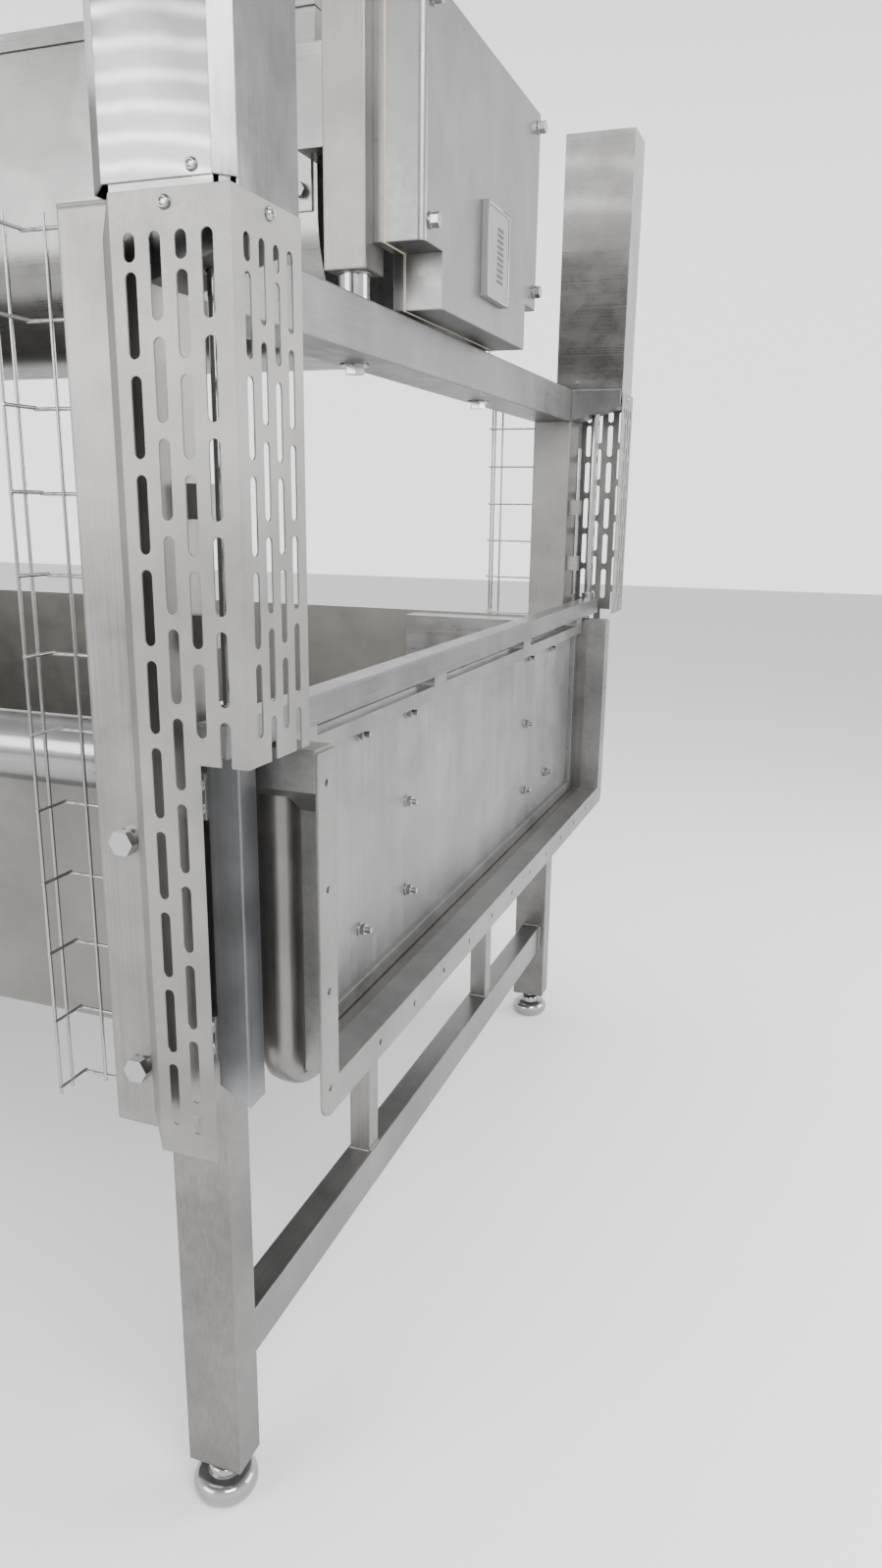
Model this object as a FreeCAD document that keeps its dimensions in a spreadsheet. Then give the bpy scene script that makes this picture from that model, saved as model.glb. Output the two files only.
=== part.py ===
import FreeCAD, Part
import math
import os
import re
import Sketcher

# Stainless trough station: a long open trough on four levelled legs, a gate that two air
# cylinders lift at its discharge end, and a closed vessel on posts above it.
# Frame: +X out of the discharge end, +Y to the left, +Z up; the origin is on the floor, midway.
# Every dimension is in millimetres. Right-hand pieces are drawn; left-hand ones mirror them.

DRIVING = [
    ("frame_length", 2404, "over the outer faces of the end columns"),
    ("trough_width", 1696, "outside of the trough walls"),
    ("pad_thickness", 8, "weld pads between trough wall and leg"),
    ("leg_depth", 60, "leg tube across the trough"),
    ("leg_width", 88, "leg tube along the trough"),
    ("leg_setback", 2, "column face outside of leg face"),
    ("leg_top", 1100, "leg height"),
    ("tube_wall", 4, "wall of legs, columns, beams and posts"),
    ("foot_height", 68, "floor to leg underside"),
    ("foot_radius", 50, "polished foot dome"),
    ("stem_radius", 10, "foot stem"),
    ("stem_reach", 40, "stem above the leg underside"),
    ("stem_clearance", 0.08, "radial play of the stem in its thread"),
    ("column_side", 100, "square column tube"),
    ("column_bottom", 715, "column underside"),
    ("column_top", 1800, "column tube top"),
    ("cap_plate", 4, "cap plates on the column tops"),
    ("beam_height", 80, "beam height"),
    ("bolt_upper", 1101, "upper column bolt"),
    ("bolt_lower", 798, "lower column bolt"),
    ("bolt_inset", 59, "column bolts from the column's outer face"),
    ("bolt_hole_radius", 10.5, "holes for the large bolts"),
    ("shank_radius", 10, "large bolt shank"),
    ("shank_length", 24, "large bolt shank behind the washer's face"),
    ("washer_radius", 15, "column bolt washer"),
    ("washer_sheet", 3, "washer thickness"),
    ("head_corner", 17, "bolt head, centre to corner"),
    ("head_height", 13, "bolt head height"),
    ("stretcher_width", 50, "lower cross tube, along the trough"),
    ("stretcher_height", 76, "lower cross tube height"),
    ("stretcher_bottom", 217, "lower cross tube underside"),
    ("stretcher_inset", 15, "lower cross tube inside the leg face"),
    ("strut_side", 40, "square struts under the trough"),
    ("strut_offset", 362, "struts from the mid-plane"),
    ("pad_height", 220, "weld pads"),
    ("pad_drop", 20, "weld pad top below the leg top"),
    ("pad_margin", 9, "weld pad inside the leg's edges"),
    ("sheet", 3, "trough and vessel sheet"),
    ("floor_lap", 20, "flat lap of the walls beyond the rounded edges"),
    ("trough_bottom", 722, "trough underside"),
    ("trough_corner", 70, "outer radius of the trough's lower edges"),
    ("rim_radius", 50, "rolled rim"),
    ("rim_top", 1210, "top of the rolled rim"),
    ("housing_length", 64, "gate housing along the trough"),
    ("housing_depth", 32, "gate housing outside of the wall"),
    ("housing_gap", 24, "gate housing beyond the column face"),
    ("housing_drop", 5, "gate housing top below the rim top"),
    ("housing_lip", 2, "housing and collar inside the trough wall"),
    ("housing_corner", 90, "gate housing's lower outer edges"),
    ("housing_floor", 8, "housing floor above the trough underside"),
    ("collar_length", 50, "discharge collar beyond the housing"),
    ("collar_floor", 16, "collar floor above the trough underside"),
    ("collar_drop", 10, "collar top below the rim top"),
    ("flange_width", 48, "bolting flange outside of the collar"),
    ("flange_corner", 25, "bolting flange's outer corners"),
    ("flange_sheet", 4, "bolting flange thickness"),
    ("flange_hole_radius", 5, "holes in the bolting flange"),
    ("side_hole_pitch", 143, "holes up each side of the flange"),
    ("side_hole_start", 16, "lowest side hole above the bottom row"),
    ("bottom_hole_pitch", 140, "holes along the bottom of the flange"),
    ("rim_box_side", 55, "rim box's outer edge"),
    ("rim_box_root", 93, "rim box against the wall"),
    ("overflow_length", 426, "overflow box along the trough"),
    ("overflow_width", 97, "overflow box across the trough"),
    ("overflow_height", 200, "overflow box"),
    ("overflow_gap", 4, "overflow box to the gate housing"),
    ("gate_sheet", 4, "gate panel"),
    ("gate_play", 2, "gate in its slot, each way"),
    ("slot_corner", 50, "lower corners of the gate and its slot"),
    ("slot_play", 3, "gate slot beyond the panel, each side"),
    ("slot_reach", 16, "gate slot beyond the trough wall"),
    ("panel_setback", 25, "gate panel's outer face into the housing"),
    ("edge_frame_width", 26, "flat frame on the gate's edges"),
    ("edge_frame_depth", 12, "flat frame on the gate's edges"),
    ("rail_depth", 24, "rail on the gate's top edge, along the trough"),
    ("gate_spacer_inner", 283, "inner spacers from the mid-plane"),
    ("gate_spacer_outer", 800, "outer spacers from the mid-plane"),
    ("gate_spacer_width", 60, "spacers under the lift bar"),
    ("gate_spacer_setback", 4, "spacers inside the lift bar's outer face"),
    ("stud_inner", 377, "inner studs from the mid-plane"),
    ("stud_outer", 577, "outer studs from the mid-plane"),
    ("stud_drop", 12, "upper studs below the rail"),
    ("stud_middle", 278, "middle studs above the trough underside"),
    ("stud_low", 115, "lower studs above the trough underside"),
    ("stud_radius", 5, "gate studs"),
    ("stud_length", 20, "gate studs"),
    ("stud_washer_radius", 11, "gate stud washers"),
    ("stud_washer_sheet", 2, "gate stud washers"),
    ("stud_nut_corner", 9.5, "gate stud nuts, centre to corner"),
    ("stud_nut_height", 8, "gate stud nuts"),
    ("gate_top", 1194, "top of the gate panel"),
    ("rail_height", 24, "rail on the gate's top edge"),
    ("lift_bar_side", 40, "square lift bar"),
    ("lift_bar_bottom", 1212, "underside of the lift bar"),
    ("lift_bar_setback", 10, "lift bar inside of the gate panel's outer face"),
    ("lift_bar_margin", 8, "lift bar's end inside the column's outer side"),
    ("lift_bar_gap", 7, "guide channel top to the lift bar"),
    ("rod_radius", 11, "piston rod"),
    ("rod_inset", 44, "rod axis from the column's inner face plane"),
    ("rod_clearance", 0.3, "rod in its gland, radial"),
    ("cylinder_radius", 32, "lift cylinder barrel"),
    ("cylinder_wall", 4, "lift cylinder barrel wall"),
    ("cylinder_stroke", 440, "gate travel"),
    ("gland_height", 18, "lift cylinder's lower gland and upper end"),
    ("piston_gap", 2, "lowered piston above the gland"),
    ("cylinder_spare", 90, "barrel length beyond the gate travel"),
    ("piston_height", 16, "piston"),
    ("rod_boss_radius", 17, "piston rod's boss on the lift bar"),
    ("rod_boss_height", 18, "piston rod's boss on the lift bar"),
    ("bracket_reach", 133, "lift bracket beyond the column"),
    ("bracket_tip", 40, "lift bracket height at its tip"),
    ("bracket_depth", 87, "lift bracket across the trough"),
    ("guard_reach", 140, "guard beyond the leg face"),
    ("guard_standoff", 45, "guard in front of the column"),
    ("guard_chamfer", 33, "guard's folded corner"),
    ("guard_sheet", 2, "guard and cover sheet"),
    ("guard_bottom", 718, "guard underside"),
    ("guard_step", 1217, "height where the guard narrows"),
    ("guard_step_reach", 78, "lower guard beyond the leg face"),
    ("guard_drop", 8, "guard top below the cap plates"),
    ("guard_seat", 0.3, "guard's folded edge to the column"),
    ("slot_radius", 6.75, "round ends of the guard slots"),
    ("slot_length", 82, "guard slots, end to end"),
    ("slot_short", 27, "top slot of every other column"),
    ("slot_margin", 38, "guard top to the first slot"),
    ("slot_web", 9, "sheet between the short slot and the next"),
    ("slot_edge", 28, "outermost slot column from the folded edge"),
    ("slot_floor", 16, "sheet left under the lowest slots"),
    ("slot_pitch_across", 30, "slot columns"),
    ("slot_pitch_up", 98, "slots in a column"),
    ("cover_height", 614, "cylinder cover"),
    ("cover_overlap", 40, "cover over the beam"),
    ("cover_chamfer", 18, "cover's outer folded corner"),
    ("cover_lip", 2, "guard beyond the cover"),
    ("cover_skirt", 14, "cover's tabs behind the guard"),
    ("skirt_lap", 6, "cover's tabs above the beam"),
    ("tab_setback", 5, "corner tab's ends from the fold's ends"),
    ("channel_gap", 18, "guide channel beyond the column"),
    ("channel_width", 44, "guide channel along the trough"),
    ("channel_depth", 40, "guide channel across the trough"),
    ("channel_bottom", 730, "guide channel underside"),
    ("channel_slope", 25, "guide channel's sloped foot"),
    ("clamp_bottom", 795, "lower channel clamp"),
    ("clamp_pitch", 325, "between the two channel clamps"),
    ("clamp_height", 60, "channel clamp height"),
    ("clamp_depth", 36, "channel clamp across the trough"),
    ("clamp_inset", 10, "channel clamp from the column's inner face plane"),
    ("guide_rod_radius", 6, "guide rod"),
    ("guide_rod_length", 390, "guide rod"),
    ("guide_rod_bottom", 1265, "guide rod's lower end"),
    ("guide_rod_gap", 21, "guide rod axis beyond the column"),
    ("guide_rod_inset", 29, "guide rod axis from the column's inner face plane"),
    ("carrier_bottom", 1330, "lower guide rod carrier"),
    ("carrier_pitch", 150, "between the guide rod carriers"),
    ("carrier_height", 40, "guide rod carrier height"),
    ("carrier_width", 31, "guide rod carrier along the trough"),
    ("carrier_depth", 24, "guide rod carrier across the trough"),
    ("wire_radius", 2.3, "cable tray wire"),
    ("wire_offset", 1.6, "between the axes of crossing wires, pressed into each other"),
    ("upright_radius", 2.5, "cable tray upright wire"),
    ("wire_lead", 8, "cable tray uprights beyond the cross wires"),
    ("tray_width", 127, "cable tray back"),
    ("tray_flange", 56, "cable tray side"),
    ("tray_upright_gap", 35, "cable tray upright from the tray's corner"),
    ("tray_wires", 12, "cable tray cross wires"),
    ("tray_pitch", 100, "between the cross wires"),
    ("vessel_width", 572, "vessel outside"),
    ("vessel_bottom", 1770, "vessel underside"),
    ("vessel_top", 2295, "vessel lid top"),
    ("vessel_corner", 200, "vessel lower edges"),
    ("vessel_gap", 52, "vessel end to beam"),
    ("lid_height", 28, "vessel lid band"),
    ("lid_lap", 5, "vessel lid beyond the vessel's sides"),
    ("post_side", 72, "vessel posts"),
    ("post_inset", 68.5, "post axis from the column's outer face"),
    ("post_offset", 326, "vessel posts from the mid-plane"),
    ("post_drop", 15, "post top below the lid top"),
    ("post_washer_radius", 24, "washers under the beam"),
    ("spacer_height", 58, "round spacers under the posts"),
    ("spacer_radius", 25, "round spacers under the posts"),
    ("plate_bottom", 2040, "vessel plates"),
    ("plate_height", 146, "vessel plates and straps"),
    ("plate_lap", 56, "vessel plates inside the vessel's side"),
    ("strap_width", 38, "straps on the vessel's sides"),
    ("strap_inset", 27.5, "strap middle from the vessel's end"),
    ("strap_bottom", 1970, "straps on the vessel's sides"),
    ("strap_bolt_inset", 31, "strap bolts from the strap's ends"),
    ("strap_sheet", 5, "strap thickness"),
    ("case_width", 664, "drive case"),
    ("case_bottom", 1816, "drive case underside"),
    ("case_top", 2274, "drive case top"),
    ("case_depth", 68, "drive case cover"),
    ("case_back", 20, "drive case back tray"),
    ("case_fold", 12, "drive case's rounded front edges"),
    ("case_notch_width", 86, "drive case lower corner notches"),
    ("case_notch_height", 88, "drive case lower corner notches"),
    ("case_bolt_inset", 26, "case bolts from the case's sides"),
    ("case_bolt_low", 121, "lower case bolts above the underside"),
    ("case_bolt_high", 28, "upper case bolts below the top"),
    ("case_washer_radius", 13, "case bolt washer"),
    ("case_head_corner", 12, "case bolt head, centre to corner"),
    ("nameplate_right", 46, "nameplate's right edge from the mid-plane"),
    ("nameplate_left", 88, "nameplate's left edge from the mid-plane"),
    ("nameplate_bottom", 1870, "nameplate"),
    ("nameplate_height", 160, "nameplate"),
    ("nameplate_sheet", 12, "nameplate"),
]
ALIASES = {alias for alias, value, note in DRIVING}

# Places that several pieces share, worked out from the driving dimensions.
MIDDLE = "(0 - (guard_reach - leg_setback - sheet) / 2)"
COLUMN_OUT = f"({MIDDLE} + frame_length / 2)"
INFEED_OUT = f"({MIDDLE} - frame_length / 2)"
COLUMN_IN = f"({COLUMN_OUT} - column_side)"
LEG_OUT = f"({COLUMN_OUT} - leg_setback)"
LEG_IN = f"({LEG_OUT} - leg_width)"
WALL = "(trough_width / 2)"
LEG_FACE = f"({WALL} + pad_thickness)"
COLUMN_FACE = f"({LEG_FACE} + leg_depth)"
SIDE = f"({COLUMN_FACE} + column_side)"
BEAM_TOP = "(column_top + cap_plate)"
BEAM_BOTTOM = f"({BEAM_TOP} - beam_height)"
HOUSING_START = f"({COLUMN_OUT} + housing_gap)"
HOUSING_END = f"({HOUSING_START} + housing_length)"
COLLAR_END = f"({HOUSING_END} + collar_length)"
FLANGE_EDGE = f"({WALL} + flange_width)"
PANEL_FACE = f"({HOUSING_START} + panel_setback)"
PANEL_BACK = f"({PANEL_FACE} - gate_sheet)"
SLOT_REACH = f"({WALL} + slot_reach)"
SLOT_BOTTOM = "(trough_bottom - slot_reach)"
BAR_IN = f"({PANEL_FACE} - lift_bar_setback)"
BAR_OUT = f"({BAR_IN} + lift_bar_side)"
ROD_X = f"({BAR_IN} + lift_bar_side / 2)"
ROD_Y = f"({COLUMN_FACE} + rod_inset)"
BAR_TOP = "(lift_bar_bottom + lift_bar_side)"
GUARD_OUT = f"({LEG_OUT} + guard_reach)"
GUARD_FACE = f"({SIDE} + guard_standoff)"
GUARD_TOP = f"({BEAM_TOP} - guard_drop)"
SLOT_FLOOR = "(guard_bottom + slot_floor)"
STEP_FLOOR = "(guard_step - slot_length / 2)"
CHANNEL_IN = f"({COLUMN_OUT} + channel_gap)"
GUIDE_ROD_X = f"({COLUMN_OUT} + guide_rod_gap)"
GUIDE_ROD_Y = f"({COLUMN_FACE} + guide_rod_inset)"
VESSEL_END = f"({COLUMN_IN} - vessel_gap)"
POST_X = f"({COLUMN_OUT} - post_inset)"
POST_BOTTOM = f"({BEAM_TOP} + spacer_height)"
CASE_BACK = f"({POST_X} + post_side / 2)"
CASE_FRONT = f"({CASE_BACK} + case_back + case_depth)"
CASE_BOLT_Y = "(case_width / 2 - case_bolt_inset)"
CASE_BOLTS_Z = ("(case_bottom + case_bolt_low)", "(case_top - case_bolt_high)")

X_AXIS = FreeCAD.Vector(1, 0, 0)
Y_AXIS = FreeCAD.Vector(0, 1, 0)
Z_AXIS = FreeCAD.Vector(0, 0, 1)

doc = FreeCAD.newDocument("trough_station")
sheet = doc.addObject("Spreadsheet::Sheet", "dims")
for row, (alias, value, note) in enumerate(DRIVING, start=1):
    sheet.set(f"A{row}", alias)
    sheet.set(f"B{row}", str(value))
    sheet.set(f"C{row}", note)
    sheet.setAlias(f"B{row}", alias)
doc.recompute()

nodes = []


def bound(text):
    """An expression in plain aliases, with each alias read from the sheet."""
    swap = lambda word: f"dims.{word.group(0)}" if word.group(0) in ALIASES else word.group(0)
    return re.sub(r"[a-z_]+", swap, text)


def value(text):
    """The number that an expression in plain aliases gives now."""
    names = {alias: float(sheet.get(alias)) for alias in ALIASES}
    words = re.findall(r"[a-z_]+|[0-9.]+|[-+*/()]", text)
    return FreeCAD.Units.Quantity("".join(str(names.get(word, word)) for word in words)).Value


def bind(piece, **sizes):
    for name, text in sizes.items():
        piece.setExpression(name.replace("__", "."), bound(text))
    return piece


def move(piece, x="0", y="0", z="0"):
    piece.setExpression("Placement.Base.x", bound(x))
    piece.setExpression("Placement.Base.y", bound(y))
    piece.setExpression("Placement.Base.z", bound(z))
    return piece


def turn(piece, axis, degrees):
    piece.Placement.Rotation = FreeCAD.Rotation(axis, degrees)
    return piece


def keep(piece, label):
    """Mark a piece as a node of its own, written to parts/LABEL.step."""
    piece.Label = label
    assert piece.Label == label, f"{label} is already another object's label"
    nodes.append(piece)
    return piece


def block(x, y, z):
    """A box from (low, high) expressions on each axis."""
    piece = doc.addObject("Part::Box", "block")
    bind(piece, Length=f"{x[1]} - {x[0]}", Width=f"{y[1]} - {y[0]}", Height=f"{z[1]} - {z[0]}")
    return move(piece, x[0], y[0], z[0])


def rod(radius, length, x, y, z, axis=Z_AXIS):
    """A round bar from (x, y, z) along an axis."""
    piece = doc.addObject("Part::Cylinder", "rod")
    bind(piece, Radius=radius, Height=length)
    if axis != Z_AXIS:
        turn(piece, Z_AXIS.cross(axis), 90)
    return move(piece, x, y, z)


def hexagon(corner, length, x, y, z, axis=Z_AXIS):
    """A hexagonal prism, sized by the radius of its corners."""
    piece = doc.addObject("Part::Prism", "hexagon")
    piece.Polygon = 6
    bind(piece, Circumradius=corner, Height=length)
    if axis != Z_AXIS:
        turn(piece, Z_AXIS.cross(axis), 90)
    return move(piece, x, y, z)


def cut(base, *tools):
    for tool in tools:
        piece = doc.addObject("Part::Cut", "cut")
        piece.Base = base
        piece.Tool = tool
        base = piece
    return base


def fuse(*pieces):
    piece = doc.addObject("Part::MultiFuse", "fuse")
    piece.Shapes = list(pieces)
    return piece


def group(*pieces):
    piece = doc.addObject("Part::Compound", "group")
    piece.Links = list(pieces)
    return piece


def mirror(source, normal):
    """The image of a piece across the lengthwise plane, or across the frame's middle."""
    piece = doc.addObject("Part::Mirroring", "mirror")
    piece.Source = source
    piece.Normal = normal
    piece.setExpression("Base.x", bound(MIDDLE))
    return piece


def opposite(x):
    """The place at the infeed end that matches a place at the discharge end."""
    return f"(2 * {MIDDLE} - {x})"


def keep_pair(right, name):
    """A right-hand node and its mirror image on the left."""
    keep(right, f"{name}_right")
    keep(mirror(right, Y_AXIS), f"{name}_left")


def keep_four(corner, name):
    """A discharge right-hand node and its images at the other three corners."""
    left = mirror(corner, Y_AXIS)
    keep(corner, f"{name}_discharge_right")
    keep(left, f"{name}_discharge_left")
    keep(mirror(corner, X_AXIS), f"{name}_infeed_right")
    keep(mirror(left, X_AXIS), f"{name}_infeed_left")


def both_sides(piece):
    return [piece, mirror(piece, Y_AXIS)]


def all_corners(piece):
    return [copy for side in both_sides(piece) for copy in (side, mirror(side, X_AXIS))]


def hollow(x, y, z, wall="tube_wall"):
    """A closed tube: a box with a wall all round."""
    inner = [(f"({low} + {wall})", f"({high} - {wall})") for low, high in (x, y, z)]
    return cut(block(x, y, z), block(*inner))


def body(name):
    return doc.addObject("PartDesign::Body", name)


def plane(owner, role):
    return next(item for item in owner.Origin.OriginFeatures if item.Role == role)


def outline(owner, role, points=()):
    """A sketch on an origin plane, with a loop of straight edges whose corners are bound to the sheet."""
    sketch = owner.newObject("Sketcher::SketchObject", "outline")
    sketch.AttachmentSupport = (plane(owner, role), [""])
    sketch.MapMode = "FlatFace"
    if points:
        draw_loop(sketch, points)
    return sketch


def draw_loop(sketch, points):
    """Add one closed loop; each corner gets its two distances from the sketch's origin."""
    first = sketch.GeometryCount
    places = [FreeCAD.Vector(value(across), value(up), 0) for across, up in points]
    for index, place in enumerate(places):
        sketch.addGeometry(Part.LineSegment(place, places[(index + 1) % len(places)]))
    for index, (across, up) in enumerate(points):
        edge = first + index
        following = first + (index + 1) % len(points)
        sketch.addConstraint(Sketcher.Constraint("Coincident", edge, 2, following, 1))
        place_point(sketch, edge, 1, across, up)


def place_point(sketch, edge, point, across, up):
    """Bind one point's two distances from the sketch's origin."""
    for kind, text in (("DistanceX", across), ("DistanceY", up)):
        number = sketch.addConstraint(Sketcher.Constraint(kind, -1, 1, edge, point, value(text)))
        sketch.setExpression(f"Constraints[{number}]", bound(text))


def pad(owner, sketch, length, reverse=False):
    feature = owner.newObject("PartDesign::Pad", "pad")
    feature.Profile = sketch
    feature.Reversed = reverse
    bind(feature, Length=length)
    owner.Tip = feature
    doc.recompute()
    return feature


def round_edges(owner, radius, chosen):
    """Fillet the edges for which chosen(middle, direction) holds."""
    base = owner.Tip
    names = []
    for number, edge in enumerate(base.Shape.Edges, start=1):
        middle = edge.CenterOfMass
        way = edge.Vertexes[-1].Point - edge.Vertexes[0].Point
        if chosen(middle, way):
            names.append(f"Edge{number}")
    feature = owner.newObject("PartDesign::Fillet", "fillet")
    feature.Base = (base, names)
    bind(feature, Radius=radius)
    owner.Tip = feature
    doc.recompute()


def near(number, text):
    return abs(number - value(text)) < 0.01


def make_legs():
    """Leg tubes with a tapped foot plate at the bottom."""
    x = (LEG_IN, LEG_OUT)
    y = (f"-{COLUMN_FACE}", f"-{LEG_FACE}")
    tube = hollow(x, y, ("foot_height", "leg_top"), "tube_wall")
    hole = rod("stem_radius + stem_clearance", "3 * tube_wall", f"{LEG_OUT} - leg_width / 2",
               f"-({LEG_FACE} + leg_depth / 2)", "foot_height - tube_wall")
    keep_four(cut(tube, hole), "leg")


def make_feet():
    """Levelling feet: a polished dome, a neck and a threaded stem, turned in one piece."""
    foot = body("foot")
    steps = [("0", "0"), ("foot_radius - 6", "0"), ("foot_radius", "7"), ("foot_radius", "20"),
             ("foot_radius - 7", "30"), ("foot_radius - 20", "36"), ("foot_radius - 28", "40"),
             ("foot_radius - 26", "46"), ("foot_radius - 26", "foot_height - 8"),
             ("stem_radius + 6", "foot_height - 0.3"), ("stem_radius", "foot_height - 0.3"),
             ("stem_radius", "foot_height + stem_reach"), ("0", "foot_height + stem_reach")]
    sketch = outline(foot, "XZ_Plane", steps)
    turned = foot.newObject("PartDesign::Revolution", "turned")
    turned.Profile = sketch
    turned.ReferenceAxis = (sketch, ["V_Axis"])
    turned.Angle = 360
    foot.Tip = turned
    move(foot, f"{LEG_OUT} - leg_width / 2", f"-({LEG_FACE} + leg_depth / 2)", "0")
    keep_four(foot, "foot")


def column_bolt_places():
    return [(f"({COLUMN_OUT} - bolt_inset)", f"-{SIDE}", height) for height in ("bolt_upper", "bolt_lower")]


def make_columns():
    """Column tubes bolted to the outside of the legs, drilled for the bolts."""
    y = (f"-{SIDE}", f"-{COLUMN_FACE}")
    tube = hollow((COLUMN_IN, COLUMN_OUT), y, ("column_bottom", "column_top"))
    holes = [rod("bolt_hole_radius", "3 * tube_wall", x, f"{place} - tube_wall", z, Y_AXIS)
             for x, place, z in column_bolt_places()]
    keep_four(cut(tube, *holes), "column")


def make_column_caps():
    """Cap plates that close the column tubes."""
    cap = block((COLUMN_IN, COLUMN_OUT), (f"-{SIDE}", f"-{COLUMN_FACE}"), ("column_top", BEAM_TOP))
    keep(group(*all_corners(cap)), "column_caps")


def make_beams():
    """Cross beams between the columns, drilled from below for the vessel posts' bolts."""
    tube = hollow((COLUMN_IN, COLUMN_OUT), (f"-{COLUMN_FACE}", COLUMN_FACE), (BEAM_BOTTOM, BEAM_TOP))
    holes = [rod("bolt_hole_radius", "3 * tube_wall", POST_X, y, f"{BEAM_BOTTOM} - tube_wall")
             for y in ("post_offset", "-post_offset")]
    beam = cut(tube, *holes)
    keep(beam, "beam_discharge")
    keep(mirror(beam, X_AXIS), "beam_infeed")


def bolt(x, y, z, letter, outward, washer="washer_radius", corner="head_corner"):
    """A hexagon bolt at a face: washer and head on its outward side, shank through the wall."""
    axis = {"x": X_AXIS, "y": Y_AXIS, "z": Z_AXIS}[letter]
    spot = {"x": x, "y": y, "z": z}
    shifts = {"washer": "- washer_sheet", "head": "- washer_sheet - head_height", "shank": ""}
    if outward == "+":
        shifts = {"washer": "", "head": "+ washer_sheet", "shank": "- shank_length"}
    starts = {part: {**spot, letter: f"({spot[letter]} {shift})"} for part, shift in shifts.items()}
    return fuse(rod(washer, "washer_sheet", axis=axis, **starts["washer"]),
                hexagon(corner, "head_height", axis=axis, **starts["head"]),
                rod("shank_radius", "shank_length", axis=axis, **starts["shank"]))


def make_frame_bolts():
    """Every large hexagon bolt: columns to legs, posts to beams, and the drive case."""
    pieces = []
    for x, y, z in column_bolt_places():
        pieces += all_corners(bolt(x, y, z, "y", "-"))
    pieces += all_corners(bolt(POST_X, "-post_offset", BEAM_BOTTOM, "z", "-", "post_washer_radius"))
    for height in CASE_BOLTS_Z:
        pieces += both_sides(bolt(CASE_FRONT, f"-{CASE_BOLT_Y}", height, "x", "+", "case_washer_radius",
                                  "case_head_corner"))
    keep(group(*pieces), "frame_bolts")


def make_stretchers():
    """Lower cross tubes between the legs."""
    out = f"({LEG_OUT} - stretcher_inset)"
    tube = hollow((f"({out} - stretcher_width)", out), (f"-{LEG_FACE}", LEG_FACE),
                  ("stretcher_bottom", "(stretcher_bottom + stretcher_height)"))
    keep(group(tube, mirror(tube, X_AXIS)), "stretchers")


def make_struts():
    """Square struts from the lower cross tubes up to the trough."""
    middle = f"({LEG_OUT} - stretcher_inset - stretcher_width / 2)"
    tube = hollow((f"({middle} - strut_side / 2)", f"({middle} + strut_side / 2)"),
                  ("(0 - strut_offset - strut_side / 2)", "(0 - strut_offset + strut_side / 2)"),
                  ("(stretcher_bottom + stretcher_height)", "trough_bottom"))
    keep(group(*all_corners(tube)), "trough_struts")


def make_pads():
    """Weld pads that hold the trough walls to the legs."""
    top = "(leg_top - pad_drop)"
    pad_block = block((f"({LEG_IN} + pad_margin)", f"({LEG_OUT} - pad_margin)"), (f"-{LEG_FACE}", f"-{WALL}"),
                      (f"({top} - pad_height)", top))
    keep(group(*all_corners(pad_block)), "trough_pads")


def make_brackets():
    """Tapered boxes on the columns that carry the lift cylinders."""
    bracket = body("bracket")
    tip = f"({COLUMN_OUT} + bracket_reach)"
    profile = [(COLUMN_OUT, BEAM_BOTTOM), (tip, f"({BEAM_TOP} - bracket_tip)"), (tip, BEAM_TOP),
               (COLUMN_OUT, BEAM_TOP)]
    pad(bracket, outline(bracket, "XZ_Plane", profile), "bracket_depth")
    move(bracket, y=f"-{COLUMN_FACE}")
    inner = body("bracket_inside")
    wall = "tube_wall"
    hollowed = [(f"({COLUMN_OUT} + {wall})", f"({BEAM_BOTTOM} + {wall} + 1)"),
                (f"({tip} - {wall})", f"({BEAM_TOP} - bracket_tip + {wall})"),
                (f"({tip} - {wall})", f"({BEAM_TOP} - {wall})"),
                (f"({COLUMN_OUT} + {wall})", f"({BEAM_TOP} - {wall})")]
    pad(inner, outline(inner, "XZ_Plane", hollowed), f"bracket_depth - 2 * {wall}")
    move(inner, y=f"-({COLUMN_FACE} + {wall})")
    bore = rod("rod_radius + 2", "2 * beam_height", ROD_X, f"-{ROD_Y}", f"{BEAM_BOTTOM} - beam_height / 2")
    keep_pair(cut(bracket, inner, bore), "lift_bracket")


def draw_slot(sketch, across, top, length):
    """Add one upright slot with round ends, placed by the two arcs' centres."""
    first = sketch.GeometryCount
    radius = value("slot_radius")
    ends = [f"({top} - slot_radius)", f"({top} - {length} + slot_radius)"]
    high, low = [FreeCAD.Vector(value(across), value(end), 0) for end in ends]
    aside = X_AXIS * radius
    edges = [Part.ArcOfCircle(Part.Circle(high, Z_AXIS, radius), 0, math.pi),
             Part.LineSegment(high - aside, low - aside),
             Part.ArcOfCircle(Part.Circle(low, Z_AXIS, radius), math.pi, 2 * math.pi),
             Part.LineSegment(low + aside, high + aside)]
    for edge in edges:
        sketch.addGeometry(edge)
    for step in range(4):
        sketch.addConstraint(Sketcher.Constraint("Tangent", first + step, 2, first + (step + 1) % 4, 1))
    number = sketch.addConstraint(Sketcher.Constraint("Radius", first, radius))
    sketch.setExpression(f"Constraints[{number}]", bound("slot_radius"))
    for edge, end in ((first, ends[0]), (first + 2, ends[1])):
        place_point(sketch, edge, 3, across, end)


def cut_through(owner, sketch):
    """Pocket a sketch's loops through the whole sheet, both ways from the sketch plane."""
    pocket = owner.newObject("PartDesign::Pocket", "pocket")
    pocket.Profile = sketch
    pocket.Type = 1
    pocket.Midplane = True
    owner.Tip = pocket
    doc.recompute()
    return pocket


def punch_slot(owner, role, across, top, length):
    sketch = outline(owner, role)
    draw_slot(sketch, across, top, length)
    return cut_through(owner, sketch), sketch


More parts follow.
